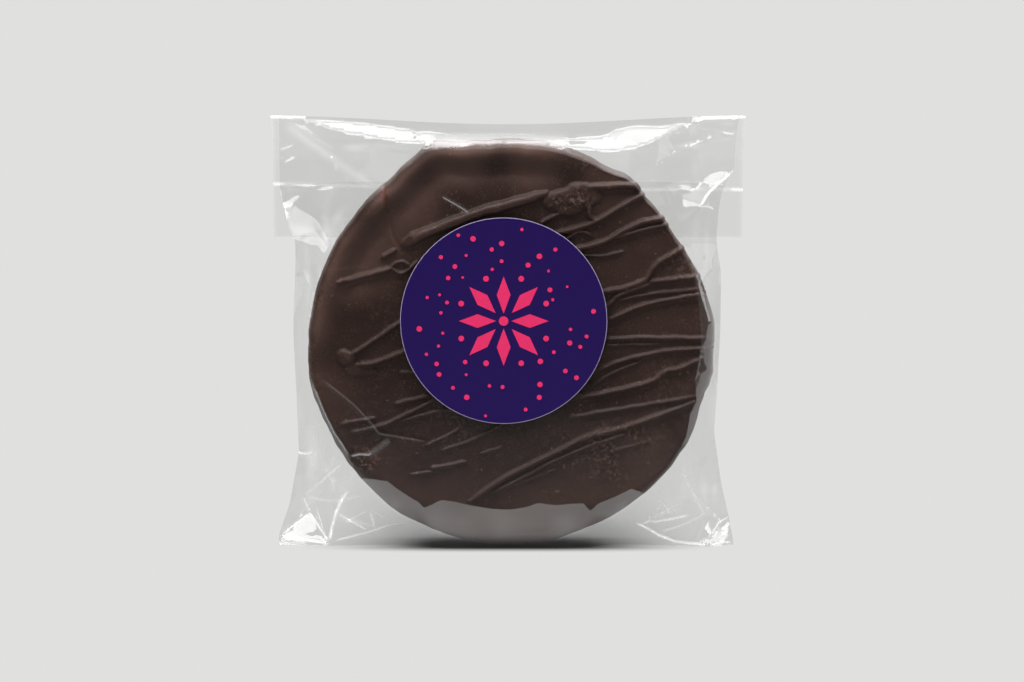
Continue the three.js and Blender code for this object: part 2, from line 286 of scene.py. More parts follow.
def chocolate_colour(tree, where, clouds, grain, pores, dust):
    """Uneven brown, paler at the rim and in the drizzle, with bloom, sugar, flecks and bare crumb."""
    colour = blend_colour(tree, clouds, CHOCOLATE_DARK, CHOCOLATE_MID)
    # pale is partly painted light: a sheen on the lip that faces the light, and light on the shaded coat
    # above the floor
    colour = blend_colour(tree, attribute(tree, "pale"), colour, CHOCOLATE_PALE_AND_PAINTED_LIGHT)
    strand = math_node(tree, "MULTIPLY", attribute(tree, "strand"), STRAND_SHARE)
    colour = blend_colour(tree, strand, colour, CHOCOLATE_STRAND)
    colour = speckled(tree, colour, grain, DUST_LEVEL, dust, CHOCOLATE_DUST)
    patches = noise_texture(tree, where, *BLOOM)
    patches = math_node(tree, "MULTIPLY_ADD", patches, BLOOM_CONTRAST, BLOOM_START)
    powder = math_node(tree, "MULTIPLY", math_node(tree, "SUBTRACT", pores, 0.5), patches, clamp=True)
    colour = blend_colour(tree, powder, colour, CHOCOLATE_DUST)
    sugar, flecks = noise_texture(tree, where, *SUGAR), noise_texture(tree, where, *FLECKS)
    colour = speckled(tree, colour, sugar, SUGAR_LEVEL, SUGAR_SHARE, FLECK_BROWN)
    colour = speckled(tree, colour, flecks, FLECK_LEVEL, FLECK_SHARE, FLECK_BROWN)
    return blend_colour(tree, attribute(tree, "crumb"), colour, CRUMB_RED)


def chocolate_material():
    """Dark couverture: cloudy brown, satin, lighter where it was drizzled and where it is dusty."""
    material, tree = new_material("chocolate")
    where = node(tree, "ShaderNodeTexCoord").outputs["Object"]
    dust = attribute(tree, "dust")
    clouds, grain, pores = (noise_texture(tree, where, *kind) for kind in (CLOUDS, GRAIN, PORES))
    colour = chocolate_colour(tree, where, clouds, grain, pores, dust)
    rough = math_node(tree, "MULTIPLY_ADD", clouds, CLOUD_ROUGH, CHOCOLATE_ROUGH)
    rough = math_node(tree, "MULTIPLY_ADD", dust, DUST_ROUGH, rough, clamp=True)
    fine = math_node(tree, "MULTIPLY", grain, math_node(tree, "MULTIPLY_ADD", dust, DUST_BUMP, GRAIN_BUMP))
    fine = math_node(tree, "MULTIPLY_ADD", pores, PORE_BUMP, fine)
    inputs = {"Height": fine, "Strength": CHOCOLATE_BUMP, "Distance": CHOCOLATE_BUMP_HEIGHT}
    bump = node(tree, "ShaderNodeBump", inputs).outputs[0]
    inputs = {"Base Color": colour, "Roughness": rough, "Normal": bump}
    shader = node(tree, "ShaderNodeBsdfPrincipled", inputs)
    shader.inputs["Specular IOR Level"].default_value = CHOCOLATE_SHEEN
    return finish_material(material, tree, shader.outputs[0])


FILM_TINT = (0.905, 0.906, 0.903, 1)  # share of the light that one layer lets through
MILK_BACK = (0.6, 0.6, 0.6, 1)  # light that a milky place sends back
MILK_ON = (0.5, 0.5, 0.5, 1)  # and lets on, scattered
GRAZING_MIRROR, GRAZING_POWER = 0.9, 5.0  # growth of what film mirrors towards grazing angles
FILM_ROUGH = 0.05


def film_material(name):
    """Clear film: what it mirrors grows towards grazing angles, and the rest shows through.

    The attribute "shine" is what it mirrors straight on, "white" how milky it is, from haze, whitened
    creases, painted highlights and a painted reflection, and "dull" the share of its mirroring that is lost.
    """
    material, tree = new_material(name)
    facing = node(tree, "ShaderNodeLayerWeight", {"Blend": 0.5}).outputs["Facing"]
    grazing = math_node(tree, "POWER", facing, GRAZING_POWER)
    mirror = math_node(tree, "MULTIPLY_ADD", grazing, GRAZING_MIRROR, attribute(tree, "shine"), clamp=True)
    mirror = math_node(tree, "MULTIPLY", mirror, math_node(tree, "SUBTRACT", 1.0, attribute(tree, "dull")))
    clear = node(tree, "ShaderNodeBsdfTransparent", {"Color": FILM_TINT}).outputs[0]
    lit = node(tree, "ShaderNodeBsdfDiffuse", {"Color": MILK_BACK}).outputs[0]
    lit_through = node(tree, "ShaderNodeBsdfTranslucent", {"Color": MILK_ON}).outputs[0]
    milk = node(tree, "ShaderNodeAddShader", {0: lit, 1: lit_through}).outputs[0]
    hazy = node(tree, "ShaderNodeMixShader", {0: attribute(tree, "white"), 1: clear, 2: milk}).outputs[0]
    gloss = node(tree, "ShaderNodeBsdfGlossy", {"Color": (1, 1, 1, 1), "Roughness": FILM_ROUGH}).outputs[0]
    surface = node(tree, "ShaderNodeMixShader", {0: mirror, 1: hazy, 2: gloss}).outputs[0]
    return finish_material(material, tree, surface)


LABEL_VIOLET = (0.013, 0.0025, 0.078)
LABEL_PINK = (0.78, 0.03, 0.14)
LABEL_EDGE = (0.3, 0.26, 0.4)
PRINT_FLECKS = (2600, 2, 0.7)  # faint unevenness of the print: scale, detail, roughness
PRINT_CONTRAST = 0.12
PAPER_BUMP, PAPER_BUMP_HEIGHT = 0.05, 0.00005
PAPER_ROUGH, PAPER_SHEEN = 0.5, 0.15


def paper_material(name, colour):
    """Coated label paper with the faint dot pattern of its print."""
    material, tree = new_material(name)
    where = node(tree, "ShaderNodeTexCoord").outputs["Object"]
    fleck = noise_texture(tree, where, *PRINT_FLECKS)
    shade = math_node(tree, "MULTIPLY_ADD", fleck, 2 * PRINT_CONTRAST, 1 - PRINT_CONTRAST)
    tone = node(tree, "ShaderNodeVectorMath", {0: colour}, operation="SCALE")
    tree.links.new(shade, tone.inputs["Scale"])
    inputs = {"Height": fleck, "Strength": PAPER_BUMP, "Distance": PAPER_BUMP_HEIGHT}
    bump = node(tree, "ShaderNodeBump", inputs).outputs[0]
    shader = node(tree, "ShaderNodeBsdfPrincipled", {"Base Color": tone.outputs[0], "Normal": bump})
    shader.inputs["Roughness"].default_value = PAPER_ROUGH
    shader.inputs["Specular IOR Level"].default_value = PAPER_SHEEN
    return finish_material(material, tree, shader.outputs[0])


# ---- Cookie ---------------------------------------------------------------------------------------

RIM_MEAN = 38.3
# Uneven outline of the disc: swing and shift of the waves that run once to four times round
RIM_WAVES = [(0.35, 1.86), (0.32, 2.68), (0.32, 0.68), (0.2, 0)]
# Bumps and dents of the rim: direction and width in degrees, height
RIM_BUMPS = [
    (112, 6, 1.7), (54, 4, 0.9), (7, 5, 0.4), (31, 7, -0.5), (97, 4, -0.4), (190, 6, 0.3), (237, 6, 0.35),
    (341, 5, -0.6), (352, 2, 0.35), (346, 1.5, -0.3), (104, 2.5, -0.3), (121, 3, 0.3), (128, 2, -0.2),
    (88, 13, -0.4),
]
RIM_ROUGHNESS = [(0.14, 4.5, 14), (0.1, 1.8, 15)]  # height, size and seed of noise


def cookie_radius(turn):
    """Outline of the disc, in the direction `turn` from +X towards +Z."""
    radius = RIM_MEAN
    for k, (swing, shift) in enumerate(RIM_WAVES):
        radius = radius + swing * np.cos((k + 1) * turn + shift)
    for place, width, lift in RIM_BUMPS:
        radius = radius + lift * np.exp(-(((np.degrees(turn) % 360 - place) / width) ** 2))
    x, z = RIM_MEAN * np.cos(turn), RIM_MEAN * np.sin(turn)
    for height, size, seed in RIM_ROUGHNESS:
        radius = radius + height * noise(x, z, size, seed)
    return radius


# Rounding between the front face and the rim: direction in degrees, width on the face, depth
EDGE_ROUNDING = [
    (0, 2.5, 5), (16, 1.9, 5), (30, 0.5, 4), (60, 0.5, 4), (70, 1.1, 6), (78, 1.2, 6.5), (90, 1.2, 7),
    (106, 1.1, 6), (120, 0.6, 2.6), (180, 0.7, 3), (205, 2, 5), (225, 3.4, 6), (245, 6.8, 6.8),
    (270, 7.6, 6.8), (292, 6.4, 6.8), (315, 1.6, 4), (335, 1.4, 4), (343, 1.8, 5), (350, 2.8, 5),
    (360, 2.5, 5),
]
ROUNDING_EASE = (-6, -3, 0, 3, 6)  # degrees to each side over which it is averaged


def edge_rounding(turn):
    """Width and depth of the rounding at the front edge."""
    return averaged(EDGE_ROUNDING, [(np.degrees(turn) + shift) % 360 for shift in ROUNDING_EASE])


# Drizzle: width, height and the places (x, z) it runs through on the face
STRANDS = {
    "main": (1.9, 1.0, [(-18.9, 58.2), (-16.4, 59.8), (-12.6, 61.3), (-5.1, 64.2), (-1.4, 65.1),
                        (7.1, 67.6)]),
    "main_tail": (1.3, 0.7, [(14.5, 68.7), (19.2, 69), (22, 69.1), (26, 68.7)]),
    "hook": (0.9, 0.55, [(15.2, 66.2), (15.2, 63.6), (16.4, 62.4)]),
    "a": (1.1, 0.65, [(8.4, 60), (12.4, 61), (16.5, 62.4), (20.9, 65), (25, 67.2), (28.6, 68.9)]),
    "a_spur": (0.8, 0.45, [(6.0, 62), (8.4, 63.3), (10.7, 64.3)]),
    "loop": (0.7, 0.45, [(10.4, 58.4), (11.4, 59.4), (13, 60.3), (14.6, 60.4), (15.8, 59.6)]),
    "b": (1.1, 0.65, [(11.6, 56.9), (17.2, 58.3), (20, 59.6), (21.9, 60.8), (25.6, 62.3), (31.9, 63.4)]),
    "b_low": (0.9, 0.55, [(20, 59.3), (24.6, 60.6), (31.5, 62.2)]),
    "c": (0.6, 0.35, [(14.2, 56), (18.2, 56), (21.7, 56.8)]),
    "y": (1.0, 0.6, [(17.2, 49), (21.9, 49.9), (25.7, 51.4), (27, 53.3), (28.5, 54.8), (32.3, 57.1),
                     (34, 58)]),
    "d": (0.9, 0.55, [(26.6, 51.1), (37.6, 52.2)]),
    "e": (0.9, 0.5, [(17.6, 45.6), (19.5, 47.3), (21, 48.6), (26.7, 50.7)]),
    "f": (0.6, 0.35, [(21, 47.6), (26.6, 48.7), (37.5, 49.8)]),
    "g": (0.9, 0.55, [(18.2, 43.6), (24.7, 46.4), (30.4, 47.8), (38, 48.9)]),
    "h": (0.8, 0.45, [(18.2, 40.2), (26.6, 40.5), (37.7, 40.3)]),
    "h_low": (0.5, 0.25, [(18.0, 39.1), (28.6, 39.3)]),
    "i": (0.8, 0.5, [(16.5, 34.3), (21, 36), (25.7, 37.2), (30.4, 38.1), (38.4, 38.5)]),
    "i_low": (0.6, 0.35, [(15.8, 31.6), (20, 34), (24.7, 35.9)]),
    "j": (1.0, 0.6, [(12.0, 29), (17.2, 29.8), (26.6, 32.1), (29.4, 34), (32.2, 34.7), (36.6, 36.7)]),
    "k": (0.7, 0.4, [(11.4, 25.4), (17.3, 26.4), (24.8, 27.6), (35.2, 29.3)]),
    "l": (1.0, 0.6, [(-7.2, 9.4), (-1.5, 13.4), (4.1, 16.4), (9.8, 19.2), (15.4, 21.9), (21, 23.2),
                     (26.6, 25.1),
                     (35.5, 28.5)]),
    "m": (0.8, 0.45, [(-2.5, 11.3), (4.1, 14.7), (7.9, 16.8), (15.4, 20), (22, 22.3)]),
    "m_low": (0.5, 0.3, [(0.2, 12.4), (5.1, 14.1), (9.2, 15.6)]),
    "l_spur": (0.7, 0.35, [(1, 14.6), (3.8, 15.7)]),
    "l_low": (0.5, 0.3, [(19.2, 18.9), (26.6, 20.9)]),
    "n": (1.1, 0.65, [(-31.7, 50.9), (-26.8, 52.2), (-21.7, 53.6)]),
    "n_curl": (0.6, 0.45, [(-21.7, 53.6), (-20.4, 52.6), (-18.8, 53.2), (-17, 54.9)]),
    "n_curl_2": (0.5, 0.4, [(-22.6, 53), (-21.2, 54.5), (-19.6, 54.8), (-18.4, 53.9)]),
    "o": (0.9, 0.5, [(-23.6, 55.6), (-22.2, 56.4), (-21, 57.1)]),
    "p": (0.9, 0.55, [(-30, 36.9), (-25.8, 39.6), (-19.6, 43.9)]),
    "q": (1.1, 0.65, [(-28.1, 35.3), (-24.9, 35.9), (-18.9, 38.1)]),
    "q_low": (0.7, 0.4, [(-20.2, 34), (-17.2, 34)]),
    "r": (0.8, 0.45, [(-21.1, 28.1), (-14.5, 29.6)]),
    "s": (0.8, 0.5, [(-29.5, 22.6), (-23.9, 23.8), (-20.2, 25.5), (-13.0, 29.2)]),
    "t": (0.6, 0.4, [(-31.4, 24.2), (-24.9, 25.3)]),
    "u": (0.8, 0.4, [(-20.2, 24.7), (-14.6, 26.3), (-8.9, 27.4), (-6, 27.6)]),
    "v": (0.6, 0.35, [(-15.5, 20), (-10.8, 22.3), (-8.9, 23.6)]),
    "v_low": (0.6, 0.3, [(-12.5, 19.2), (-6.8, 21.1), (-1.5, 24)]),
    "w": (0.8, 0.45, [(-14.5, 15.7), (-8, 17)]),
    "w_low": (0.5, 0.3, [(-18.4, 14.6), (-13, 15.2)]),
    "x": (0.5, 0.3, [(-5.2, 18.4), (-1.2, 19.8)]),
}
# Pools where the drizzle lies thickest: centre, half length, half width, height, slope in degrees
POOLS = [
    (12.0, 66.7, 5.7, 2.6, 0.98, 8), (-17.0, 59.4, 3.4, 1.2, 1.0, 27), (-30.4, 36.9, 1.9, 1.3, 0.8, -10),
    (-27.5, 34.3, 3.4, 1.2, 0.4, -5),
]
# Rough patches, where crumbs show through the coat: centre, radii, strength
ROUGH = [
    (21, 19, 8, 6, 0.9), (32.5, 54.5, 4, 3, 0.8), (-27, 17.4, 4, 2.4, 1), (12, 66.7, 5.6, 2.3, 1),
    (-12, 23, 6, 4, 0.4), (-30, 24.5, 2.5, 2, 0.5), (14, 73.5, 4, 1.6, 0.6), (30, 30, 5, 8, 0.35),
    (33.5, 47, 3, 5, 0.3), (-35.6, 50, 2, 8, 0.5), (-36.4, 34, 1.6, 8, 0.5),
]
# Cracks in the coat: half width, depth and places
CRACKS = [
    (0.42, 0.5, [(-23.2, 69), (-23.3, 67.6), (-22.7, 66), (-22.4, 64.4)]),
    (0.3, 0.12, [(-22.4, 64.2), (-21.6, 60), (-19.8, 56.8)]),
]
STRAND_RISE, STRAND_LIMIT = 1.3, 1.0  # the heights are drawn out by the one, up to the other
STRAND_STEP, CRACK_STEP = 0.7, 0.6  # spacing of places along a strand and along a crack
STRAND_REACH = 2.5  # a strand touches nothing further than this from its path
STRAND_WOBBLE = (0.12, 1.7, 300)  # how it strays: height, size and first seed of noise
STRAND_LUMPS = (0.09, 1.9, 400)  # how its width and height vary along it, as a share
LUMPS_ALONG = 40
STRAND_ENDS = 0.65  # share of width and height that is left at its ends
BEAD_FOOT, BEAD_POWER = 1.12, 0.6  # half widths out to its foot, and power of its rounded section
SKIRT_HEIGHT, SKIRT_SPREAD = 0.07, 1.7  # coat that runs up to it: share of its height, half widths
POOL_EDGE = (0.3, 2.2, 77)  # unevenness of a pool's outline
POOL_TOP = (0.16, 0.9, 78)  # and of its top, as a share
POOL_POWER = 0.35

LIP_TURN = 2.3  # direction in which the rim is raised to a lip: the upper left
LIP_INSET, LIP_HEIGHT, LIP_SPREAD = 2.3, 0.95, 1.9  # distance in from the rim, height, spread
TROUGH_INSET, TROUGH_DEPTH, TROUGH_SPREAD = 5.6, 0.45, 1.6  # hollow inside the lip
PLATEAU_FROM, PLATEAU_TO, PLATEAU_HEIGHT = 6, 10, 0.18  # and the face inside it, which stands up a little
BULGE_X, BULGE_Z, BULGE_WIDE, BULGE_TALL, BULGE_HEIGHT = -25, 65.4, 2.6, 3, 0.5
SWELLS = [(0.16, 11, 1), (0.07, 4.5, 2)]  # broad unevenness: height, size and seed of noise
CRUMBS = [(0.16, 0.9, 3), (0.1, 0.45, 4)]  # roughness of the rough patches
SATIN = [(0.012, 0.8, 6)]  # fine unevenness everywhere
BARE_LEFT_OF = -22  # rough patches further left than this show bare crumb
BARE_SHARE = 0.1
CRUMB_GAIN = 3

PALE_INSET = (20, 2)  # the coat grows pale between these distances from the rim
PALE_SHARE = 0.45  # and by this share where the rim has no lip; the rest is a painted sheen on the lip, which faces the light
PALE_RIM = (-0.2, 1.6)  # and dark again between these
RIGHT_TURN, RIGHT_PALE, RIGHT_INSET = 0.25, 0.3, (24, 12)  # paler field at the right
PAINTED_LIGHT_FOOT = (9, 5)  # heights between which the coat pales towards the floor, painted light on the coat that faces down into shade


def strand_field(x, z):
    """Height of the drizzle's strands over the face."""
    height = np.zeros(x.shape)
    for index, (width, tall, points) in enumerate(STRANDS.values()):
        path = curve_through(points, STRAND_STEP)
        low, high = path.min(0) - STRAND_REACH, path.max(0) + STRAND_REACH
        close = (x > low[0]) & (x < high[0]) & (z > low[1]) & (z < high[1])
        if not close.any():
            continue
        cx, cz = x[close], z[close]
        stray, size, seed = STRAND_WOBBLE
        wobble = stray * noise(cx, cz, size, seed + index)
        d, t = near_path(cx + wobble, cz + wobble, path)
        share, size, seed = STRAND_LUMPS
        lump = 1 + share * noise(t * LUMPS_ALONG, 0 * t + index, size, seed + index)
        end = STRAND_ENDS + (1 - STRAND_ENDS) * smooth(0, 0.06, t) * smooth(0, 0.1, 1 - t)
        half = width / 2 * lump * end
        tall = min(STRAND_RISE * tall, STRAND_LIMIT)
        bead = tall * lump * end * np.clip(1 - (d / (BEAD_FOOT * half)) ** 2, 0, 1) ** BEAD_POWER
        skirt = SKIRT_HEIGHT * tall * np.exp(-(d / (SKIRT_SPREAD * half)) ** 2)
        height[close] = np.maximum(height[close], bead + skirt)
    return height


def pool_field(x, z):
    """Height of the pools where the drizzle lies thickest."""
    height = np.zeros(x.shape)
    for px, pz, length, width, tall, slope in POOLS:
        a = math.radians(slope)
        u = ((x - px) * math.cos(a) + (z - pz) * math.sin(a)) / length
        v = (-(x - px) * math.sin(a) + (z - pz) * math.cos(a)) / width
        v = v * (1 + layered(x, z, [POOL_EDGE]))
        dome = np.clip(1 - u ** 2 - v ** 2, 0, 1) ** POOL_POWER
        height = np.maximum(height, tall * dome * (1 + layered(x, z, [POOL_TOP])))
    return height


def patch_field(x, z):
    """Strength of the rough patches."""
    total = np.zeros(x.shape)
    for px, pz, rx, rz, strength in ROUGH:
        d = ((x - px) / rx) ** 2 + ((z - pz) / rz) ** 2
        total = np.maximum(total, strength * np.exp(-d ** 1.5))
    return total * smooth(-0.9, 0.3, noise(x, z, 2.5, 5))


def crack_field(x, z):
    """Depth of the cracks in the coat, and how much crumb shows in them."""
    deep, crumb = np.zeros(x.shape), np.zeros(x.shape)
    for width, depth, points in CRACKS:
        d, _ = near_path(x, z, curve_through(points, CRACK_STEP))
        groove = depth * np.exp(-(d / width) ** 2)
        deep = deep + groove
        crumb = np.maximum(crumb, groove * smooth(-0.2, 0.4, noise(x, z, 0.7, 11)))
    return deep, crumb


def upper_left(turn):
    """1 along the part of the rim that has a lip, and 0 elsewhere."""
    return smooth(0.35, 0.75, np.cos(turn - LIP_TURN))


def coat_field(x, z, turn, inward):
    """Height of the coat under the drizzle: the lip, the hollow inside it and broad swells."""
    lip = LIP_HEIGHT * np.exp(-((inward - LIP_INSET) / LIP_SPREAD) ** 2)
    trough = TROUGH_DEPTH * np.exp(-((inward - TROUGH_INSET) / TROUGH_SPREAD) ** 2)
    plateau = PLATEAU_HEIGHT * smooth(PLATEAU_FROM, PLATEAU_TO, inward)
    bulge = BULGE_HEIGHT * np.exp(-(((x - BULGE_X) / BULGE_WIDE) ** 2 + ((z - BULGE_Z) / BULGE_TALL) ** 2))
    return upper_left(turn) * (lip - trough + plateau) + layered(x, z, SWELLS) + bulge


def pale_and_painted_light(x, z, turn, inward):
    """How pale the coat is: towards the rim, with a painted sheen on the lip at the upper left that faces
    the light, in a field at the right, and just above the floor, where it is painted light on the shaded
    coat.
    """
    patches = smooth(-1, 0.6, noise(x, z, 7, 13))
    pale = smooth(*PALE_INSET, inward) * (PALE_SHARE + (1 - PALE_SHARE) * upper_left(turn)) * patches
    pale = pale * smooth(*PALE_RIM, inward)
    right = RIGHT_PALE * smooth(0.6, 0.95, np.cos(turn - RIGHT_TURN)) * smooth(*RIGHT_INSET, inward)
    return np.maximum(np.maximum(pale, right), smooth(*PAINTED_LIGHT_FOOT, z))


def face_relief(x, z, turn, inward):
    """Height of the chocolate over the flat face, and its attributes in the order of COAT_ATTRIBUTES."""
    drizzle = np.maximum(strand_field(x, z), pool_field(x, z))
    rough = patch_field(x, z)
    cracks, crumb = crack_field(x, z)
    bare = BARE_SHARE * rough * (x < BARE_LEFT_OF) * smooth(0, 0.5, noise(x, z, 0.6, 16))
    height = coat_field(x, z, turn, inward) - cracks + drizzle
    height = height + rough * layered(x, z, CRUMBS) + layered(x, z, SATIN)
    crumb = np.clip(CRUMB_GAIN * np.maximum(crumb, bare), 0, 1)
    return height, np.c_[smooth(0.12, 0.4, drizzle), rough, crumb, pale_and_painted_light(x, z, turn, inward)]


# pale, the last of them, is partly painted light: a sheen on the lip and light on the shaded coat above the
# floor
COAT_ATTRIBUTES = ("strand", "dust", "crumb", "pale")
COOKIE_TURNS = 760  # columns round the cookie
FACE_RINGS = (0.15, 0.3, 0.42, *np.linspace(0.5, 1, 80))  # shares of the way from the label to the edge
ROUNDING_RINGS = 18
RELIEF_LOSS = 0.8  # share of the relief that is lost over the rounding
RIM_DEPTHS = (0.0, 2.5)  # plain rings of the rim lie this far behind the middle
BACK_RINGS, BACK_ROUND_RINGS = 12, 7  # rings of the back, and how many of them are its rounding
BACK_HOLE = 0.03  # radius, as a share, of the last ring
RIM_BUMPINESS, RIM_BUMPS_AROUND = (0.15, 1.5, 9), 12
BACK_SWELL = (0.12, 9, 12)


def front_rings(turn, out, rim):
    """Rings of the front face, from the label outwards, and of its rounding, with their attributes."""
    wide, deep = edge_rounding(turn)
    edge = np.array([COOKIE_X, COOKIE_Z]) + out * (rim - wide)[:, None]
    middle = np.array([LABEL_X, LABEL_Z])
    flat = np.full(len(turn), FACE_OUT)
    ahead = np.tile([0.0, -1.0, 0.0], (len(turn), 1))
    plan = [(middle + (edge - middle) * share, flat, ahead, 1) for share in FACE_RINGS]
    for k in range(1, ROUNDING_RINGS + 1):
        bend = k / ROUNDING_RINGS * np.pi / 2
        xz = edge + out * (wide * math.sin(bend))[:, None]
        push = np.insert(out * math.sin(bend), 1, -math.cos(bend), axis=1)
        plan.append((xz, FACE_OUT - deep * (1 - math.cos(bend)), push, 1 - RELIEF_LOSS * k / ROUNDING_RINGS))
    rings = []
    for (x, z), depth, push, share in ((xz.T, *rest) for xz, *rest in plan):
        height, values = face_relief(x, z, turn, rim - from_centre(x, z)[1])
        rings.append((np.c_[x, -depth, z] + push * (height * share)[:, None], values))
    return rings


def back_rings(turn, out, rim):
    """Plain rings of the rim and of the back, which is smooth but for broad swells."""
    height, size, seed = RIM_BUMPINESS
    plan = [(rim + height * noise(turn * RIM_BUMPS_AROUND, depth + 0 * turn, size, seed), depth + 0 * turn)
            for depth in RIM_DEPTHS]
    for k in range(BACK_RINGS):
        bend = np.pi / 2 * (1 - min(k / BACK_ROUND_RINGS, 1))
        inner = max(k - BACK_ROUND_RINGS, 0) / (BACK_RINGS - BACK_ROUND_RINGS)
        radius = (rim - BACK_ROUND + BACK_ROUND * math.sin(bend)) * (1 - (1 - BACK_HOLE) * inner)
        swell = layered(COOKIE_X + out[:, 0] * radius, COOKIE_Z + out[:, 1] * radius, [BACK_SWELL])
        swell = swell * (k >= BACK_ROUND_RINGS)
        plan.append((radius, BACK_OUT - BACK_ROUND * (1 - math.cos(bend)) + swell))
    plain = np.zeros((len(turn), len(COAT_ATTRIBUTES)))
    return [(np.c_[COOKIE_X + out[:, 0] * radius, depth, COOKIE_Z + out[:, 1] * radius], plain)
            for radius, depth in plan]


def make_cookie(material):
    """The coated disc: face centred under the label, rounded rim, smooth back."""
    turns = COOKIE_TURNS
    turn = np.arange(turns) / turns * 2 * np.pi
    out = np.c_[np.cos(turn), np.sin(turn)]
    rim = cookie_radius(turn)
    rings = front_rings(turn, out, rim) + back_rings(turn, out, rim)
    points = np.vstack([ring for ring, _ in rings])
    points[:, 2] = np.maximum(points[:, 2], FLOOR_GAP + 0.1)
    faces = ring_faces(len(rings), turns, flip=True).tolist()
    first, last = len(points), len(points) + 1
    middle = (LABEL_X, points[:turns, 1].mean(), LABEL_Z)
    points = np.vstack([points, middle, (COOKIE_X, BACK_OUT, COOKIE_Z)])
    end = (len(rings) - 1) * turns
    for k in range(turns):
        k2 = (k + 1) % turns
        faces.append((first, k, k2))
        faces.append((last, end + k2, end + k))
    piece = mesh_piece("alfajor_chocolate", points, faces, [material])
    values = np.vstack([values for _, values in rings] + [np.zeros((2, len(COAT_ATTRIBUTES)))])
    for column, name in enumerate(COAT_ATTRIBUTES):
        add_attribute(piece, name, values[:, column])
    return piece


# ---- Bag ------------------------------------------------------------------------------------------

# Side folds: height, distance from the middle of the bag, and how far forward of the middle plane
LEFT_FOLD = [
    (0, 43.6, 1.4), (2, 43.7, 2.0), (8, 41.6, 1.0), (17.8, 39.8, 0.6), (30, 40.3, 0), (41, 40.8, -0.3),
    (48, 40.5, 0.4), (54, 40.1, 2.6), (58.4, 39.9, 5.4), (60.7, 41.0, 2.9), (62.1, 41.7, 1.9),
    (65.4, 42.6, -0.2),
    (67.7, 43.2, -1.2), (73.4, 43.3, -1.8), (82, 43.4, -3),
]
RIGHT_FOLD = [
    (0, 43.0, 1.6), (0.8, 42.9, 3.4), (4.8, 42.3, -0.2), (12, 40.6, 0.6), (21.7, 39.2, 0.4),
    (30, 39.8, -0.2),
    (41, 40.3, 0.3), (52, 40.4, 0), (58.3, 39.4, 0.3), (64.9, 39.9, 0.8), (67.5, 40.4, 0.6),
    (69.7, 41.4, 0.2),
    (71.6, 42.8, -0.8), (77, 43.1, -2), (82, 43.9, -3),
]
FOLD_EASE = (-0.8, 0, 0.8)  # heights over which a side fold is averaged


def side_fold(table, z):
    """Distance from the middle and place forward of a side fold, with the table's corners eased."""
    return averaged(table, [np.asarray(z) + shift for shift in FOLD_EASE])


def fold_top(x):
    """Height of the top fold, which sags over the cookie."""
    sag = FOLD_SAG * np.cos(np.pi * np.clip(x / (2 * FLAP_HALF), -0.5, 0.5)) ** 2
    return FOLD_ENDS_Z - sag


# How far the bag's bottom fold lies in front of the middle, and above the floor: x, forward, lift
BOTTOM_FOLD = [
    (-43.6, 3.0, 0.4), (-39, 3.6, 0.3), (-34.4, 3.8, 0.3), (-26, 1.6, 0.1), (-16, 0, 0), (16, 0, 0),
    (26, 0.8, 0), (33, 2.8, 0.1), (38.5, 3.4, 0.1), (43, 2.4, 0.3),
]
BOTTOM_COUNT, SIDE_COUNT, TOP_COUNT = 110, 100, 110  # points along the folds


def bag_outline(side):
    """Closed path round the bag's folds as (x, z, out) rows, for the wall on one side."""
    table = np.array(BOTTOM_FOLD)
    x = np.linspace(table[0, 0], table[-1, 0], BOTTOM_COUNT + 1)[:-1]
    foot = 1 - smooth(FOOT_HALF, FOOT_END, np.abs(x))
    forward = np.interp(x, table[:, 0], table[:, 1])
    bottom = np.c_[x, FLOOR_GAP + np.interp(x, table[:, 0], table[:, 2]), -side * forward + FOOT_OUT * foot]
    climb = np.linspace(0, 1, SIDE_COUNT + 1)[:-1]
    rise = FOLD_ENDS_Z - FLOOR_GAP - table[:, 2]
    z_right = FLOOR_GAP + table[-1, 2] + rise[-1] * climb
    z_left = FOLD_ENDS_Z - rise[0] * climb
    wide, forward = side_fold(RIGHT_FOLD, z_right)
    right = np.c_[wide, z_right, -side * forward]
    wide, forward = side_fold(LEFT_FOLD, z_left)
    left = np.c_[-wide, z_left, -side * forward]
    x = np.linspace(RIGHT_FOLD[-1][1], -LEFT_FOLD[-1][1], TOP_COUNT + 1)[:-1]
    top = np.c_[x, fold_top(x), np.full(len(x), side * FOLD_Y)]
    return np.vstack([bottom, right, top, left])


# Edge of the front face as the film leaves it: direction in degrees and radius. It is ragged at the
# bottom, and 40 means that it follows the rim.
FACE_EDGE = [
    (0, 35.7), (9, 35.8), (17, 36.4), (25, 37.2), (32, 40), (56, 40), (68, 38.0), (90, 37.6), (104, 38.3),
    (112, 39.2), (118, 40), (184, 40), (190, 37.8), (199, 37.3), (206, 37.1), (211, 36.8), (217, 37.2),
    (221, 38.2), (224, 36.4), (228, 34.6), (240, 34.4), (242, 34.9), (246, 32), (251, 31.4), (258, 31.2),
    (270, 31.1), (275, 30.8), (280, 30.3), (286, 31.5), (291, 32.1), (294.6, 32.9), (295.6, 34.8),
    (299, 34.2),
    (305, 34.8), (310, 35.4), (311.8, 37.6), (319, 37.5), (332, 37.3), (339, 36.1), (343, 36.5),
    (349, 35.2),
    (360, 35.7),
]
EDGE_MARGIN = 0.3  # it stays at least this far in from the rim


def face_edge(turn):
    """Distance from the cookie's centre at which the film leaves the front face."""
    table = np.array(FACE_EDGE)
    edge = np.interp(np.degrees(turn) % 360, table[:, 0], table[:, 1])
    return np.minimum(edge, cookie_radius(turn) - EDGE_MARGIN)


def wall_edge(turn, side):
    """The same for the wall on either side."""
    return face_edge(turn) if side < 0 else cookie_radius(turn) - BACK_EDGE


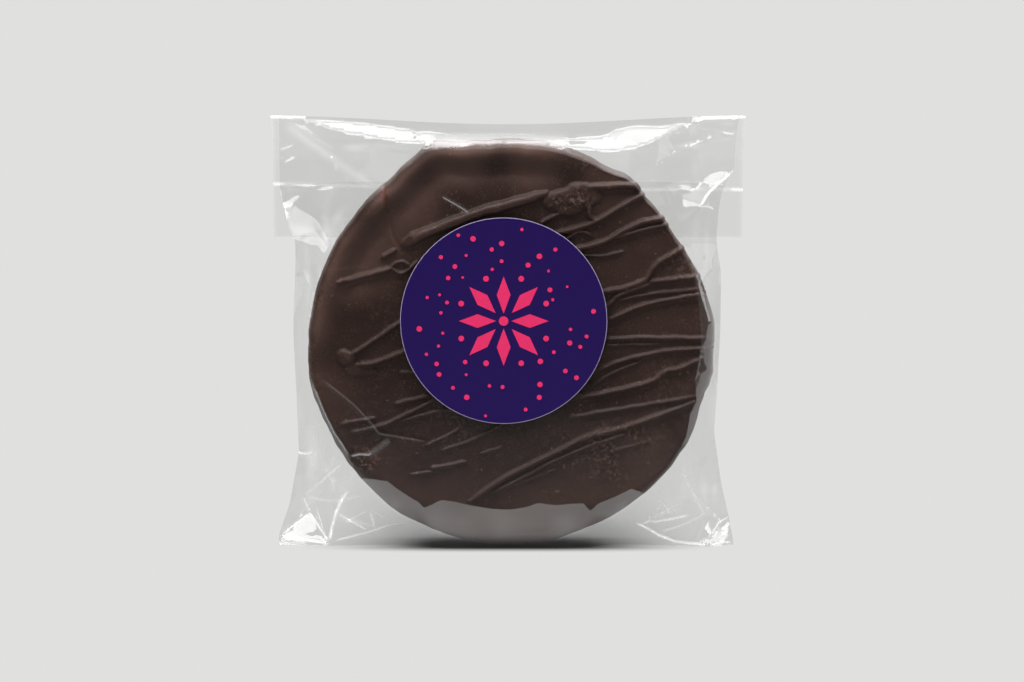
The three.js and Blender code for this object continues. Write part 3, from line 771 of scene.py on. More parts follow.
# Sharp bends of the front wall, as (x, z, out)
FRONT_BENDS = {
    "roof_top_left": [(-38.3, 81.1, -3), (-32.8, 80.7, -3), (-28.1, 80.4, -3), (-24.3, 79.9, -3),
                      (-21, 79.4, -3),
                      (-18.6, 79.1, -3), (-17, 78.2, -2.6), (-15.8, 77, 4)],
    "roof_low_left": [(-38.3, 81.1, -3), (-35.9, 80.2, -1), (-33.5, 79.5, 1.2), (-30.6, 78.9, 3.4),
                      (-27.7, 78.6, 5), (-24.9, 78.1, 6.4), (-20.1, 77.2, 8.2), (-15.6, 76.9, 8.6)],
    "roof_top_middle": [(-15.8, 77, 4), (-14, 77.2, 0.5), (-11.9, 77.7, -2), (-9.5, 78, -3),
                        (-1.5, 78.3, -3),
                        (3.2, 78.2, -3), (5.3, 77.9, -2.4)],
    "roof_top_right": [(5.3, 77.9, -2.4), (8.9, 77.6, -3), (12.3, 77.4, -3), (17.5, 77.8, -3),
                       (19.3, 78.2, -3),
                       (19.9, 79, -3), (24.1, 79.9, -3), (28.8, 79.7, -3), (33.8, 80.4, -3)],
    "roof_low_right": [(5.3, 77.9, -2.4), (7.9, 77.2, 6.5), (10.8, 76.5, 8.4), (14.4, 76, 8.1),
                       (19.5, 75.6, 7.7),
                       (22.9, 76, 6.9), (25.7, 76.7, 5.7), (27.7, 77.4, 4.4), (30.6, 78.9, 0.8),
                       (33.8, 80.4, -3)],
    "roof_notch": [(-18.6, 79.1, -3), (-16.2, 78.8, -3), (-14, 78.6, -3), (-11.9, 78.4, -3),
                   (-9.5, 78, -3)],
    "top_strip_left": [(-43.3, 81.1, -2.3), (-38.3, 81.1, -3)],
    "top_strip_right": [(35.2, 80.1, -2.0), (37, 80.9, -2.2), (43.6, 80.9, -2.2)],
    "left_ridge": [(-43, 80.8, -2.5), (-39.3, 78, -1.8), (-33.5, 74.2, 2.2), (-28.7, 71.1, 7.0),
                   (-25, 69.1, 8.7)],
    "left_wedge": [(-28.7, 71.1, 7.0), (-19.6, 76.5, 8.1)],
    "left_leaf_top": [(-42.6, 65.4, -0.6), (-41.6, 65.5, -0.4), (-39.3, 64.5, 0.0), (-37, 63, 1.0),
                      (-35, 60.9, 2.8),
                      (-33.8, 58.9, 5.2)],
    "left_leaf_fold": [(-41.7, 62.1, 1.9), (-38.8, 62.5, 1.6), (-36.9, 61.4, 2.8), (-35.7, 60.2, 4.2),
                       (-34.6, 58.4, 6.2)],
    "left_leaf_low": [(-39.9, 58.4, 5.4), (-37.4, 58.0, 6.8), (-34.6, 58.4, 6.2)],
    "right_fold": [(41.5, 80.2, -2.6), (39.6, 78.5, -2.2), (34.3, 76.7, -1.3), (30.5, 75.1, 2.2),
                   (27.5, 72.9, 6.2)],
    "right_curve": [(27.5, 72.9, 6.2), (28.4, 70.1, 7.4), (29.9, 66.4, 8), (31.2, 62.7, 8.2),
                    (32.7, 59, 8.4)],
    "right_leaf_top": [(42.7, 71.6, -0.8), (40.4, 71.4, -0.3), (38.5, 70.9, 0.2), (36.1, 69, 1.2),
                       (34.6, 67.5, 3.4),
                       (33.4, 66.3, 6)],
    "right_leaf_low": [(42.7, 71.6, -0.8), (40.9, 70, 1.0), (39.1, 68.6, 2.5), (37.5, 67.2, 4.3),
                       (36, 65, 7),
                       (33.4, 66.3, 6)],
    "right_leaf_line": [(38.5, 70.9, 0.2), (38.3, 67.9, 3.4)],
    "low_left_leaf_top": [(-43.4, 2, 2.2), (-37.8, 6.3, 0.35), (-33.9, 1.1, 4.7)],
    "low_left_leaf_foot": [(-43.4, 2, 2.2), (-39.5, 1.7, 3.9), (-33.9, 1.1, 4.7)],
    "low_left_leaf_inner": [(-41.3, 2.4, 2.35), (-38.6, 4.4, 2.05), (-35.6, 1.9, 3.7)],
    "low_left_a": [(-39, 9.5, 1.4), (-37.8, 6.3, 0.35)],
    "low_left_b": [(-39, 9.5, 1.4), (-34.6, 13.5, 4.8), (-30.9, 16.8, 7.6)],
    "low_left_c": [(-39, 9.5, 1.4), (-31.6, 9.4, 5.7), (-27, 10.9, 8)],
    "low_left_d": [(-30, 11.7, 6.8), (-31.5, 9.5, 6.2), (-32.6, 6.9, 5.6), (-33.4, 4.2, 5.1),
                   (-33.9, 1.1, 4.7)],
    "low_left_e": [(-32.6, 6.9, 5.6), (-29.6, 5.3, 5.2), (-26.6, 3.5, 4.8)],
    "low_left_f": [(-26.1, 7.4, 6.4), (-26.6, 3.5, 4.8)],
    "low_right_leaf": [(42.2, 4.6, -0.2), (38.5, 2.2, 4.2), (40.7, 1.2, 4.2), (42.4, 0.8, 3.4)],
    "low_right_a": [(32.6, 15.8, 7.8), (35.3, 10.4, 4.4), (37.7, 5.4, 1.4), (38.5, 2.2, 4.2)],
    "low_right_b": [(28.1, 10.1, 8), (31.6, 6.5, 5.2), (34.6, 6.2, 3.6)],
    "low_right_c": [(23.5, 5.5, 6.4), (26, 4.3, 5.8), (28.8, 2.6, 5.2), (31.7, 1.4, 5)],
}
# Places that pull the front wall in or out without a bend
FRONT_SWELLS = {
    "left": [(-39.4, 54, 4.4), (-39, 44, 4.6), (-39.4, 33, 4.2), (-38.6, 24, 4.6)],
    "right": [(38.6, 54, 4.4), (39.4, 44, 3.6), (39, 33, 4.6), (38, 24, 4.2)],
}
BACK_BENDS = {
    "right_top": [(-42.5, 77.5, 2.8), (-35, 72, 5), (-27.5, 67, 8)],
    "left_top": [(42.5, 77, 2.8), (34, 71, 5.4), (28, 66.5, 8.2)],
    "right_low_a": [(-42.5, 3, -1.2), (-34, 11, 5.4), (-31, 17, 8)],
    "right_low_b": [(-40, 9, 0.6), (-29, 7, 6.4)],
    "left_low_a": [(42, 3.5, -0.4), (33.5, 11, 6.2), (32, 17, 8)],
    "left_low_b": [(40.5, 10, 0.8), (29, 6, 6)],
}
BACK_SWELLS = {
    "right": [(-39.4, 50, 4.6), (-39.2, 30, 4)],
    "left": [(39.4, 52, 4.2), (39.2, 30, 4.8)],
}

# Fine creases, raised from the film and whitened where it was pressed, the whitening partly a painted
# highlight along
# them: height, half width, whitening and places (x, z)
FRONT_CREASES = [
    (0.1, 0.3, 0.3, [(-36.5, 31.7), (-34.7, 26.9), (-32.7, 22.7), (-31.2, 20.5), (-29.7, 17.9)]),
    (0.3, 0.35, 0.9, [(-40.6, 17.9), (-38.8, 17.7), (-37.1, 18.1)]),
    (0.5, 0.42, 0.9, [(-30.0, 11.7), (-31.5, 9.5), (-32.6, 6.9), (-33.4, 4.2), (-33.9, 1.3)]),
    (0.2, 0.3, 0.9, [(-37.8, 6.3), (-35.9, 3.8), (-34.0, 1.3)]),
    (0.2, 0.35, 0.35, [(-39.0, 9.5), (-37.8, 6.3)]),
    (0.25, 0.45, 0.22, [(-39.0, 9.5), (-34.6, 13.4), (-30.8, 16.8)]),
    (0.25, 0.45, 0.22, [(-39.0, 9.5), (-35.6, 9.2), (-31.8, 9.3), (-27.2, 10.8)]),
    (0.35, 0.35, 0.5, [(-32.2, 6.9), (-29.6, 5.3), (-26.6, 3.5)]),
    (0.3, 0.35, 0.3, [(-30.9, 5.1), (-28.8, 6.3), (-26.5, 7.6)]),
    (0.3, 0.4, 0.45, [(-26.1, 7.4), (-25.6, 5.4), (-25.4, 4.0)]),
    (0.25, 0.3, 0.3, [(-25.7, 7.6), (-23.3, 6.0)]),
    (0.3, 0.35, 0.5, [(-33.4, 1.3), (-30.0, 2.1), (-26.6, 3.1), (-22.0, 4.6), (-18.5, 5.1)]),
    (0.2, 0.35, 0.9, [(-43.4, 1.7), (-39.5, 1.6), (-34.2, 1.0)]),
    (0.15, 0.25, 0.5, [(-43.2, 2.2), (-40.5, 4.2), (-37.9, 6.2)]),
    (0.45, 0.4, 0.9, [(23.5, 5.5), (26, 4.3), (28.8, 2.6), (31.7, 1.4), (34.6, 0.8), (38.2, 0.5)]),
    (0.4, 0.38, 0.9, [(25.0, 4.9), (27.0, 5.6), (27.8, 5.3), (31.1, 5.8), (34.6, 6.3)]),
    (0.25, 0.4, 0.3, [(28.9, 3.3), (32.7, 4.4), (36.5, 5.7), (37.4, 6.6)]),
    (0.3, 0.45, 0.3, [(32.6, 15.8), (35.3, 10.4), (37.7, 5.4)]),
    (0.3, 0.45, 0.3, [(28.1, 10.1), (31.6, 6.5)]),
    (0.2, 0.9, 0.2, [(28.6, 12.0), (32.8, 6.6)]),
    (-0.3, 0.45, 0.0, [(32.4, 15.8), (34.8, 15.9), (36.4, 16.5), (38.0, 18.2)]),
    (0.15, 0.3, 0.5, [(38.5, 2.4), (40.2, 4.4), (42.2, 5.4)]),
    (0.25, 0.3, 0.5, [(38.4, 0.5), (40.7, 1.2), (42.5, 0.9)]),
    (0.25, 0.35, 0.8, [(36.0, 65.0), (37.5, 67.2), (39.1, 68.6), (40.9, 70.0), (42.5, 71.4)]),
    (0.2, 0.35, 0.4, [(36.1, 65.0), (37.4, 65.1), (39.0, 64.3)]),
    (-0.35, 0.5, 0.0, [(39.6, 78.5), (34.3, 76.7), (30.5, 75.1), (27.5, 72.9)]),
    (-0.4, 0.4, 0.0, [(27.5, 72.9), (28.4, 70.1), (29.9, 66.4), (31.2, 62.7), (32.7, 59.0), (34.1, 56.1)]),
    (0.04, 1.3, 0.14, [(-43.0, 80.6), (-39.3, 78.0), (-33.5, 74.2), (-28.7, 71.1), (-24.4, 68.4)]),
    (0.1, 0.5, 0.1, [(-41.5, 80.8), (-36.5, 77.6), (-32.6, 75.6)]),
    (0.3, 0.3, 0.35, [(-43.2, 75.3), (-42.0, 75.7), (-40.6, 76.2)]),
    (0.3, 0.4, 0.4, [(-42.4, 73.1), (-41.2, 73.5), (-40.3, 74.2)]),
    (0.15, 0.2, 0.5, [(-43.1, 68.0), (-43.0, 66.6), (-42.7, 65.6)]),
    (0.3, 0.35, 0.5, [(40.4, 78.6), (43.0, 78.2)]),
    (0.35, 0.3, 0.3, [(-12.4, 67.1), (-10.9, 66.3), (-9.0, 65.2), (-7.1, 63.9)]),
    (0.16, 0.3, 0.1, [(-35.4, 33.2), (-30.7, 29.5), (-28.5, 27.6), (-25.1, 23.8), (-24.2, 22.5),
                      (-14.7, 20.9)]),
    (0.3, 0.35, 0.4, [(-29.6, 18.2), (-28.0, 18.6), (-25.7, 18.5)]),
    (0.3, 0.9, 0.1, [(-26.6, 18.2), (-24.2, 19.8), (-22.1, 21.5)]),
    (0.12, 0.4, 0.0, [(-34.9, 53.7), (-25.5, 54.6)]),
    (0.1, 0.5, 0.0, [(24.6, 17), (25.2, 24), (25.0, 36)]),
    (0.12, 0.5, 0.0, [(33.2, 30), (33.8, 38), (33.4, 46)]),
]
BACK_CREASES = [
    (0.4, 0.5, 0.3, [(-33.0, 5.0), (-26.0, 3.2)]),
    (0.4, 0.5, 0.3, [(34.0, 7.4), (27.0, 4.2)]),
    (0.3, 0.5, 0.3, [(-36.0, 16.0), (-33.0, 9.0)]),
    (0.14, 0.6, 0.0, [(-20.0, 52.0), (4.0, 55.0), (22.0, 51.0)]),
    (0.12, 0.6, 0.0, [(-26.0, 30.0), (-8.0, 26.0), (9.0, 29.0)]),
    (0.14, 0.6, 0.0, [(5.0, 12.0), (20.0, 20.0), (31.0, 36.0)]),
]
# Fine rays that spread over the film from where it is gathered: centre, reach, height, rays in a turn
FANS = [
    (-43.4, 81.4, 30, 0.05, 68), (43.6, 81.2, 26, 0.05, 58), (-39.0, 9.5, 16, 0.05, 37),
    (35.5, 62.0, 15, 0.06, 31), (38.5, 3.0, 17, 0.035, 42), (-36.0, 57.0, 13, 0.05, 31),
]
# Small waves of the loose film: height, size and first seed of noise
LOOSE_WAVES = [(0.05, 8, 31), (0.02, 2.6, 35)]
ROOF_BRUSH = (0.08, 1, 51)  # streaks over the cookie's top
BRUSH_STRETCH = (0.25, 1.7)
BRUSH_HEIGHTS = (74, 77)  # they set in between these heights
SIDE_RIPPLE = (0.11, 1, 53)  # upright ripples beside the cookie
RIPPLE_STRETCH = (0.9, 0.07)
RIPPLE_LOW, RIPPLE_HIGH = (4, 14), (66, 56)  # they set in and fade between these heights
FAN_STRETCH, FAN_SEED = 0.05, 60
FACE_WAVES = (0.035, 5, 33)  # and of the film on the cookie

TIGHT_SHINE = 0.012  # what the film mirrors straight on where it lies on the chocolate
LOOSE_SHINE = 0.035  # and beside it
BAND_SHINE = 0.16  # and where it stands off the rim, at the bottom and at the right
STRIP_SHINE = 0.05  # and at the lower left, on top of that of loose film
OFF_RIM = (0.1, -1.2)  # it stands off between these distances from the rim
BOTTOM_FROM, BOTTOM_TO = (0.5, 3.5), 14.5  # heights of the band at the bottom
RIGHT_OF, RIGHT_FROM, RIGHT_TO = 28, (20, 20.8), (57, 55)  # place and heights of the band at the right
LEFT_OF, LEFT_FROM, LEFT_TO = -20, 14.5, 36  # and of the strip at the lower left
BAND_UNEVEN = (0.2, 4, 37)  # unevenness of their shine
LOOSE_HAZE = 0.01  # milkiness of the loose film
STREAK_FULL = 0.12  # height of a wave whose crest is fully milky
STREAK_PAINTED_HIGHLIGHT = 0.25  # and of the crests of its waves, a painted highlight along them
WHITE_AND_HIGHLIGHT_HAZE = 0.9  # and of a crease pressed fully white, partly a painted highlight
# Facets of the front wall that are rubbed dull: centre, radius, share of the mirroring that is lost
DULL = [(-38.0, 62.0, 8.0, 0.5), (-40.0, 78.5, 5.0, 0.5), (38.6, 69.0, 7.0, 0.1), (1.0, 79.0, 9.5, 0.85)]
# Where the front wall bends over the cookie's top its mirroring is cut and a milky band stands in for its
# reflection, a painted reflection: milkiness, mirroring lost, centre, half widths between which it fades,
# heights
TOP_BAND_HAZE, TOP_BAND_DULL = 0.31, 0.92
TOP_BAND_X, TOP_BAND_SIDES = -1.5, (13.5, 11.5)
TOP_BAND_FROM, TOP_BAND_TO = 75, (78.6, 78.1)
TOP_BAND_CLEARER, TOP_BAND_CLEARER_FROM = 0.75, (76.9, 77.7)  # share of the milkiness that goes above the chocolate

CLEARANCE = 0.6  # room between the coat and the film over it
MORE_CLEARANCE = 0.5  # more of it in front, high up and at the right
MORE_ABOVE, MORE_RIGHT = (50, 65), (28, 33)
TOP_CLEARANCE, TOP_FROM = 0.4, (60, 70)  # room between the front wall and the cookie's top, and from where
RIM_CLEARANCE = 0.3


def cookie_out(x, z, front):
    """How far out the cookie holds the film, and far inside the bag beside the cookie."""
    turn, radius = from_centre(x, z)
    wide, deep = edge_rounding(turn) if front else (BACK_ROUND, BACK_ROUND)
    rim = cookie_radius(turn) + TOP_CLEARANCE * smooth(*TOP_FROM, z) * front
    bend = np.clip((radius - rim + wide) / wide, 0, 1)
    more = np.maximum(smooth(*MORE_ABOVE, z), smooth(*MORE_RIGHT, x)) * front
    surface = FACE_OUT + CLEARANCE + MORE_CLEARANCE * more
    surface = surface - deep * (1 - np.sqrt(np.clip(1 - bend ** 2, 0, 1)))
    return np.where(radius < np.maximum(rim, cookie_radius(turn) + RIM_CLEARANCE), surface, -BAG_HEIGHT)


def triangulate(places, paths):
    """Constrained Delaunay mesh of (x, z) places whose edges follow the paths."""
    points, edges = [tuple(p) for p in places], []
    for path in paths:
        start = len(points)
        points += [tuple(p[:2]) for p in path]
        edges += [(start + k, start + k + 1) for k in range(len(path) - 1)]
    found = delaunay_2d_cdt([Vector(p) for p in points], edges, [], 0, 1e-5, True)
    return np.array([tuple(v) for v in found[0]]), np.array(found[2]), found[3]


def interpolate(places, corners, triangles, values):
    """Values at places, straight between the corners of a coarse mesh, and none outside it."""
    out = np.full(len(places), np.nan)
    x, z = places.T
    for a, b, c in triangles:
        (ax, az), (bx, bz), (cx, cz) = corners[a], corners[b], corners[c]
        area = (bx - ax) * (cz - az) - (cx - ax) * (bz - az)
        if abs(area) < 1e-9:
            continue
        u = ((x - ax) * (cz - az) - (cx - ax) * (z - az)) / area
        v = ((bx - ax) * (z - az) - (x - ax) * (bz - az)) / area
        inside = (u >= -1e-3) & (v >= -1e-3) & (u + v <= 1.001)
        out[inside] = (values[a] + u * (values[b] - values[a]) + v * (values[c] - values[a]))[inside]
    return out


def relax(values, triangles, free, rounds):
    """Evens out values over a mesh, moving only the free ones."""
    pairs = np.vstack([triangles[:, [0, 1]], triangles[:, [1, 2]], triangles[:, [2, 0]]])
    count = np.bincount(pairs.ravel(), minlength=len(values))
    for _ in range(rounds):
        total = np.bincount(pairs[:, 0], values[pairs[:, 1]], len(values))
        total += np.bincount(pairs[:, 1], values[pairs[:, 0]], len(values))
        mean = total / np.maximum(count, 1)
        values = np.where(free, (1 - RELAX_PULL) * values + RELAX_PULL * mean, values)
    return values


def offset_path(path, distance):
    """A path moved sideways."""
    path = np.array(path, float)
    along = np.gradient(path, axis=0)
    along /= np.hypot(*along.T)[:, None]
    return path + distance * np.c_[-along[:, 1], along[:, 0]]


FILM_GRID = 0.6  # spacing of the film's mesh
GRID_ROWS = 0.87  # spacing of its rows, as a share of that
GRID_HALF, GRID_LOW = 46, 0.4
LINE_ROOM = 0.35  # the grid keeps this share of its spacing away from the lines it follows
FRONT_RING_DEGREES, BACK_RING_DEGREES = 4.0, 2.0  # spacing of points where the film leaves the face
RING_STEP, RING_ROOM = 0.5, 0.07
CREASE_STEP = 0.6
COARSE_EVERY = 4  # one in so many points of the folds is a corner of a facet
PAST_SIDES = 60  # beyond the bag's sides
ON_FOLD, ON_RING = 0.05, 0.1  # places this close to a line lie on it
RELAX_ROUNDS, RELAX_PULL = 4, 0.6


def face_ring(side):
    """Closed path along which the film leaves the cookie's face."""
    degrees = np.arange(0, 360, FRONT_RING_DEGREES if side < 0 else BACK_RING_DEGREES)
    if side < 0:
        degrees = np.unique(np.r_[degrees, [a for a, _ in FACE_EDGE[:-1]]])
    turn = np.radians(degrees)
    edge = wall_edge(turn, side)
    ring = np.c_[COOKIE_X + edge * np.cos(turn), COOKIE_Z + edge * np.sin(turn)]
    return np.vstack([ring, ring[:1]])


def coarse_wall(ring, closed, bends):
    """The wall's facets: flat between the face, its bends and the folds."""
    known = [np.c_[ring, np.full(len(ring), FILM_OUT)], closed[::COARSE_EVERY]] + bends
    corners, triangles, sources = triangulate([], known)
    known = np.vstack(known)
    values = np.zeros(len(corners))
    for k, source in enumerate(sources):
        nearest = source[0] if source else np.argmin(np.hypot(*(known[:, :2] - corners[k]).T))
        values[k] = known[nearest, 2]
    return corners, triangles, values


def wall_lines(side, closed, ring, bends, creases):
    """Lines that the mesh of a wall follows: its folds, the edge of the face, its bends and creases."""
    edge = resample(ring, RING_STEP)
    lines = [closed, offset_path(edge, RING_ROOM), offset_path(edge, -RING_ROOM)]
    lines += [resample(path, FILM_GRID) for path in bends]
    for _, half, _, points in creases:
        ridge = resample(points, CREASE_STEP)
        lines += [ridge, offset_path(ridge, half), offset_path(ridge, -half)]
    if side > 0:
        lines.append(np.array([(-PAST_SIDES, MOUTH_Z), (PAST_SIDES, MOUTH_Z)], float))
    return lines


def film_grid(outline, lines, side):
    """Fine mesh of the wall whose edges follow the lines: places (x, z) and triangles."""
    rows = []
    for i, z in enumerate(np.arange(GRID_LOW, BAG_HEIGHT, FILM_GRID * GRID_ROWS)):
        x = np.arange(-GRID_HALF + FILM_GRID / 2 * (i % 2), GRID_HALF, FILM_GRID)
        rows.append(np.c_[x, np.full(len(x), z)])
    grid = np.vstack(rows)
    keep = np.ones(len(grid), bool)
    for line in lines:
        keep &= near_path(grid[:, 0], grid[:, 1], line)[0] > LINE_ROOM * FILM_GRID
    places, triangles, _ = triangulate(grid[keep], lines)
    x, z = places[triangles].mean(1).T
    low = np.interp(x, outline[:BOTTOM_COUNT, 0], outline[:BOTTOM_COUNT, 1])
    inside = (x > -side_fold(LEFT_FOLD, z)[0]) & (x < side_fold(RIGHT_FOLD, z)[0])
    inside &= (z > low) & (z < (fold_top(x) if side < 0 else MOUTH_Z))
    return places, triangles[inside]


def stretched_noise(x, z, layer, stretch, side):
    """A layer of noise whose features are drawn out along x or z."""
    height, size, seed = layer
    return height * noise(stretch[0] * x, stretch[1] * z, size, seed + side)


def unevenness(x, z, side):
    """Small waves of the loose film: brushed over the roof, upright beside the cookie, rays in corners."""
    waves = layered(x, z, [(height, size, seed + side) for height, size, seed in LOOSE_WAVES])
    waves += smooth(*BRUSH_HEIGHTS, z) * stretched_noise(x, z, ROOF_BRUSH, BRUSH_STRETCH, side)
    ripple = stretched_noise(x, z, SIDE_RIPPLE, RIPPLE_STRETCH, side)
    waves += smooth(*RIPPLE_LOW, z) * smooth(*RIPPLE_HIGH, z) * ripple
    for index, (fan_x, fan_z, reach, height, rays) in enumerate(FANS):
        far = np.hypot(x - fan_x, z - fan_z)
        angle = np.arctan2(z - fan_z, x - fan_x) * rays / (2 * np.pi)
        near, close = smooth(0.15 * reach, 0.6 * reach, far), smooth(reach, 0.4 * reach, far)
        waves += height * near * close * noise(angle, FAN_STRETCH * far, 1, FAN_SEED + index)
    return waves


def wall_form(side, places, triangles, closed, ring, bends, facets):
    """How far out each place of a wall lies without its creases, its waves, and the places on each bend."""
    x, z = places.T
    fold_distance, fold_share = near_path(x, z, closed)
    fold_out = np.interp(fold_share * (len(closed) - 1), np.arange(len(closed)), closed[:, 2])
    on_fold = fold_distance < ON_FOLD
    out = interpolate(places, *facets)
    out = np.where(np.isnan(out) | on_fold, fold_out, out)
    turn, radius = from_centre(x, z)
    past_edge = radius - wall_edge(turn, side)
    on_bend = [near_path(x, z, path)[0] < ON_FOLD for path in bends]
    fixed = on_fold | (past_edge < 0) | (near_path(x, z, ring)[0] < ON_RING) | np.any(on_bend, 0)
    out = relax(out, triangles, ~fixed, RELAX_ROUNDS)
    waves = smooth(0, 2, fold_distance) * smooth(0, 3, past_edge) * unevenness(x, z, side)
    height, size, seed = FACE_WAVES
    out += waves + smooth(0, 4, fold_distance) * height * noise(x, z, size, seed + side)
    return np.where(on_fold, out, np.maximum(out, cookie_out(x, z, side < 0))), waves, on_bend


def painted_top_band(x, z, past_edge):
    """1 where the front wall bends over the cookie's top and carries the painted reflection band, and 0
    elsewhere.
    """
    across = smooth(*TOP_BAND_SIDES, np.abs(x - TOP_BAND_X))
    return smooth(0, 0.3, past_edge) * smooth(*TOP_BAND_TO, z) * (z > TOP_BAND_FROM) * across


def wall_shine(side, x, z, radius, turn):
    """What each place of a wall mirrors straight on."""
    shine = np.full(len(x), LOOSE_SHINE)
    if side < 0:
        off_rim = smooth(*OFF_RIM, radius - cookie_radius(turn)) * (1 + layered(x, z, [BAND_UNEVEN]))
        bottom = smooth(*BOTTOM_FROM, z) * (z < BOTTOM_TO)
        right = (x > RIGHT_OF) * smooth(*RIGHT_FROM, z) * smooth(*RIGHT_TO, z)
        left = (x < LEFT_OF) & (z > LEFT_FROM) & (z < LEFT_TO)
        shine += off_rim * ((BAND_SHINE - LOOSE_SHINE) * (bottom + right) + STRIP_SHINE * left)
    return np.where(radius < wall_edge(turn, side), TIGHT_SHINE, shine)


def wall_looks(side, x, z, waves):
    """Shine, milkiness and dullness of each place of a wall, without its creases."""
    turn, radius = from_centre(x, z)
    past_edge = radius - wall_edge(turn, side)
    # the milky crests of the waves are painted streaks of highlight
    milk = LOOSE_HAZE + STREAK_PAINTED_HIGHLIGHT * np.clip(waves / STREAK_FULL, 0, 1) ** 2
    white = np.where(past_edge < 0, 0, milk)
    dull = np.zeros(len(x))
    if side < 0:
        # painted reflection: a milky band over the cookie's top in place of the film's mirroring there
        top_band = painted_top_band(x, z, past_edge)
        white = np.maximum(white, TOP_BAND_HAZE * top_band * (1 - TOP_BAND_CLEARER * smooth(*TOP_BAND_CLEARER_FROM, z)))
        dull = np.maximum(dull, TOP_BAND_DULL * top_band)
        for dull_x, dull_z, reach, lost in DULL:
            dull = np.maximum(dull, lost * smooth(reach, 0.8 * reach, np.hypot(x - dull_x, z - dull_z)))
    return wall_shine(side, x, z, radius, turn), white, dull


def crease(x, z, half, points):
    """Height of a crease over the film, from 0 to 1."""
    d, t = near_path(x, z, resample(points, CREASE_STEP))
    return smooth(0, 0.12, t) * smooth(0, 0.12, 1 - t) * np.clip(1 - d / half, 0, 1)


def bottom_strip():
    """Strip of film under the cookie, from the front wall's bottom fold to the back wall's."""
    under = [p for p in bag_outline(-1)[:BOTTOM_COUNT] if abs(p[0]) < FOOT_END]
    other = [p for p in bag_outline(1)[:BOTTOM_COUNT] if abs(p[0]) < FOOT_END]
    return [(p[0], -p[2], p[1]) for p in under] + [(p[0], p[2], p[1]) for p in other]


def add_strip(points, faces, looks):
    """The bottom strip joined to a wall's mesh. It mirrors nothing."""
    strip = bottom_strip()
    start, count = len(points), len(strip) // 2
    faces += [(start + k, start + k + 1, start + count + k + 1, start + count + k) for k in range(count - 1)]
    return np.vstack([points, strip]), faces, np.vstack([looks, np.tile([0, 0, 1], (len(strip), 1))])


def sharpen(piece, on_bend):
    """Marks the edges of a wall along its bends as sharp."""
    ends = np.array([edge.vertices for edge in piece.data.edges])
    ends = ends[(ends < on_bend.shape[1]).all(1)]
    sharp = np.zeros(len(piece.data.edges), bool)
    sharp[:len(ends)] = (on_bend[:, ends[:, 0]] & on_bend[:, ends[:, 1]]).any(0)
    layer = piece.data.attributes.new("sharp_edge", "BOOLEAN", "EDGE")
    layer.data.foreach_set("value", sharp)


def make_wall(name, side, bends, swells, creases, material):
    """One wall of the bag: flat facets between its bends, fine creases, and small unevenness."""
    outline = bag_outline(side)
    closed = np.vstack([outline, outline[:1]])
    ring = face_ring(side)
    bends = [np.array(path, float) for path in bends.values()]
    swells = [np.array(path, float) for path in swells.values()]
    facets = coarse_wall(ring, closed, bends + swells)
    places, triangles = film_grid(outline, wall_lines(side, closed, ring, bends, creases), side)
    x, z = places.T
    out, waves, on_bend = wall_form(side, places, triangles, closed, ring, bends, facets)
    shine, white, dull = wall_looks(side, x, z, waves)
    # creases are raised and whitened; the whitening also paints highlights along them
    for height, half, whitening, points in creases:
        ridge = crease(x, z, half, points)
        out += height * ridge
        white = np.maximum(white, WHITE_AND_HIGHLIGHT_HAZE * whitening * ridge)

    used = np.unique(triangles)
    place = np.full(len(places), -1)
    place[used] = np.arange(len(used))
    faces = (place[triangles] if side < 0 else place[triangles][:, ::-1]).tolist()
    points = np.c_[x, side * out, z][used]
    looks = np.c_[shine, white, dull][used]
    if side < 0:
        points, faces, looks = add_strip(points, faces, looks)
    piece = mesh_piece(name, points, faces, [material])
    sharpen(piece, np.array(on_bend)[:, used])
    for column, look in enumerate(("shine", "white", "dull")):
        add_attribute(piece, look, looks[:, column])
    return piece


FLAP_COLUMNS, FLAP_ROWS = 240, 90
# Section of the flap: heights and places behind the middle, evened out in so many rounds
FLAP_HEIGHTS = (FOLD_ENDS_Z, 76.8, 73, FLAP_BOTTOM)
FLAP_PLACES = (FOLD_Y, FILM_OUT - 0.5, FLAP_OUT - 0.1, FLAP_OUT)
FLAP_ROUNDS = 10
FLAP_WAVES = [(0.12, 9, 41), (0.03, 3.5, 42)]
FLAP_GAP = 0.4  # room between it and the cookie's back
ADHESIVE_HALF, ADHESIVE_RISE, ADHESIVE_SLOPE = 0.4, 0.12, 0.012  # edge of the adhesive strip
CURL_WIDTH, CURL_DEPTH = 0.7, 0.25  # its sides curl forward
TABS = (42.4, 43.2)  # the adhesive shows whiter from here to the sides
ADHESIVE_WHITE, TAB_WHITE, EDGE_WHITE = 0.3, 0.5, 0.12
LOW_EDGE = 0.4
ROLLED_LEFT, ROLLED_RIGHT = -38.5, 36.6  # the top fold rolls over from here to the sides, with a painted white highlight along it
ROLLED_HEIGHT = 0.6


def flap_section():
    """Heights and places behind the middle down the flap."""
    z_line = FOLD_ENDS_Z + (FLAP_BOTTOM - FOLD_ENDS_Z) * np.linspace(0, 1, FLAP_ROWS + 1)
    y_line = np.interp(-z_line, [-height for height in FLAP_HEIGHTS], FLAP_PLACES)
    for _ in range(FLAP_ROUNDS):
        y_line[1:-1] = (y_line[:-2] + 2 * y_line[1:-1] + y_line[2:]) / 4
    return z_line, y_line


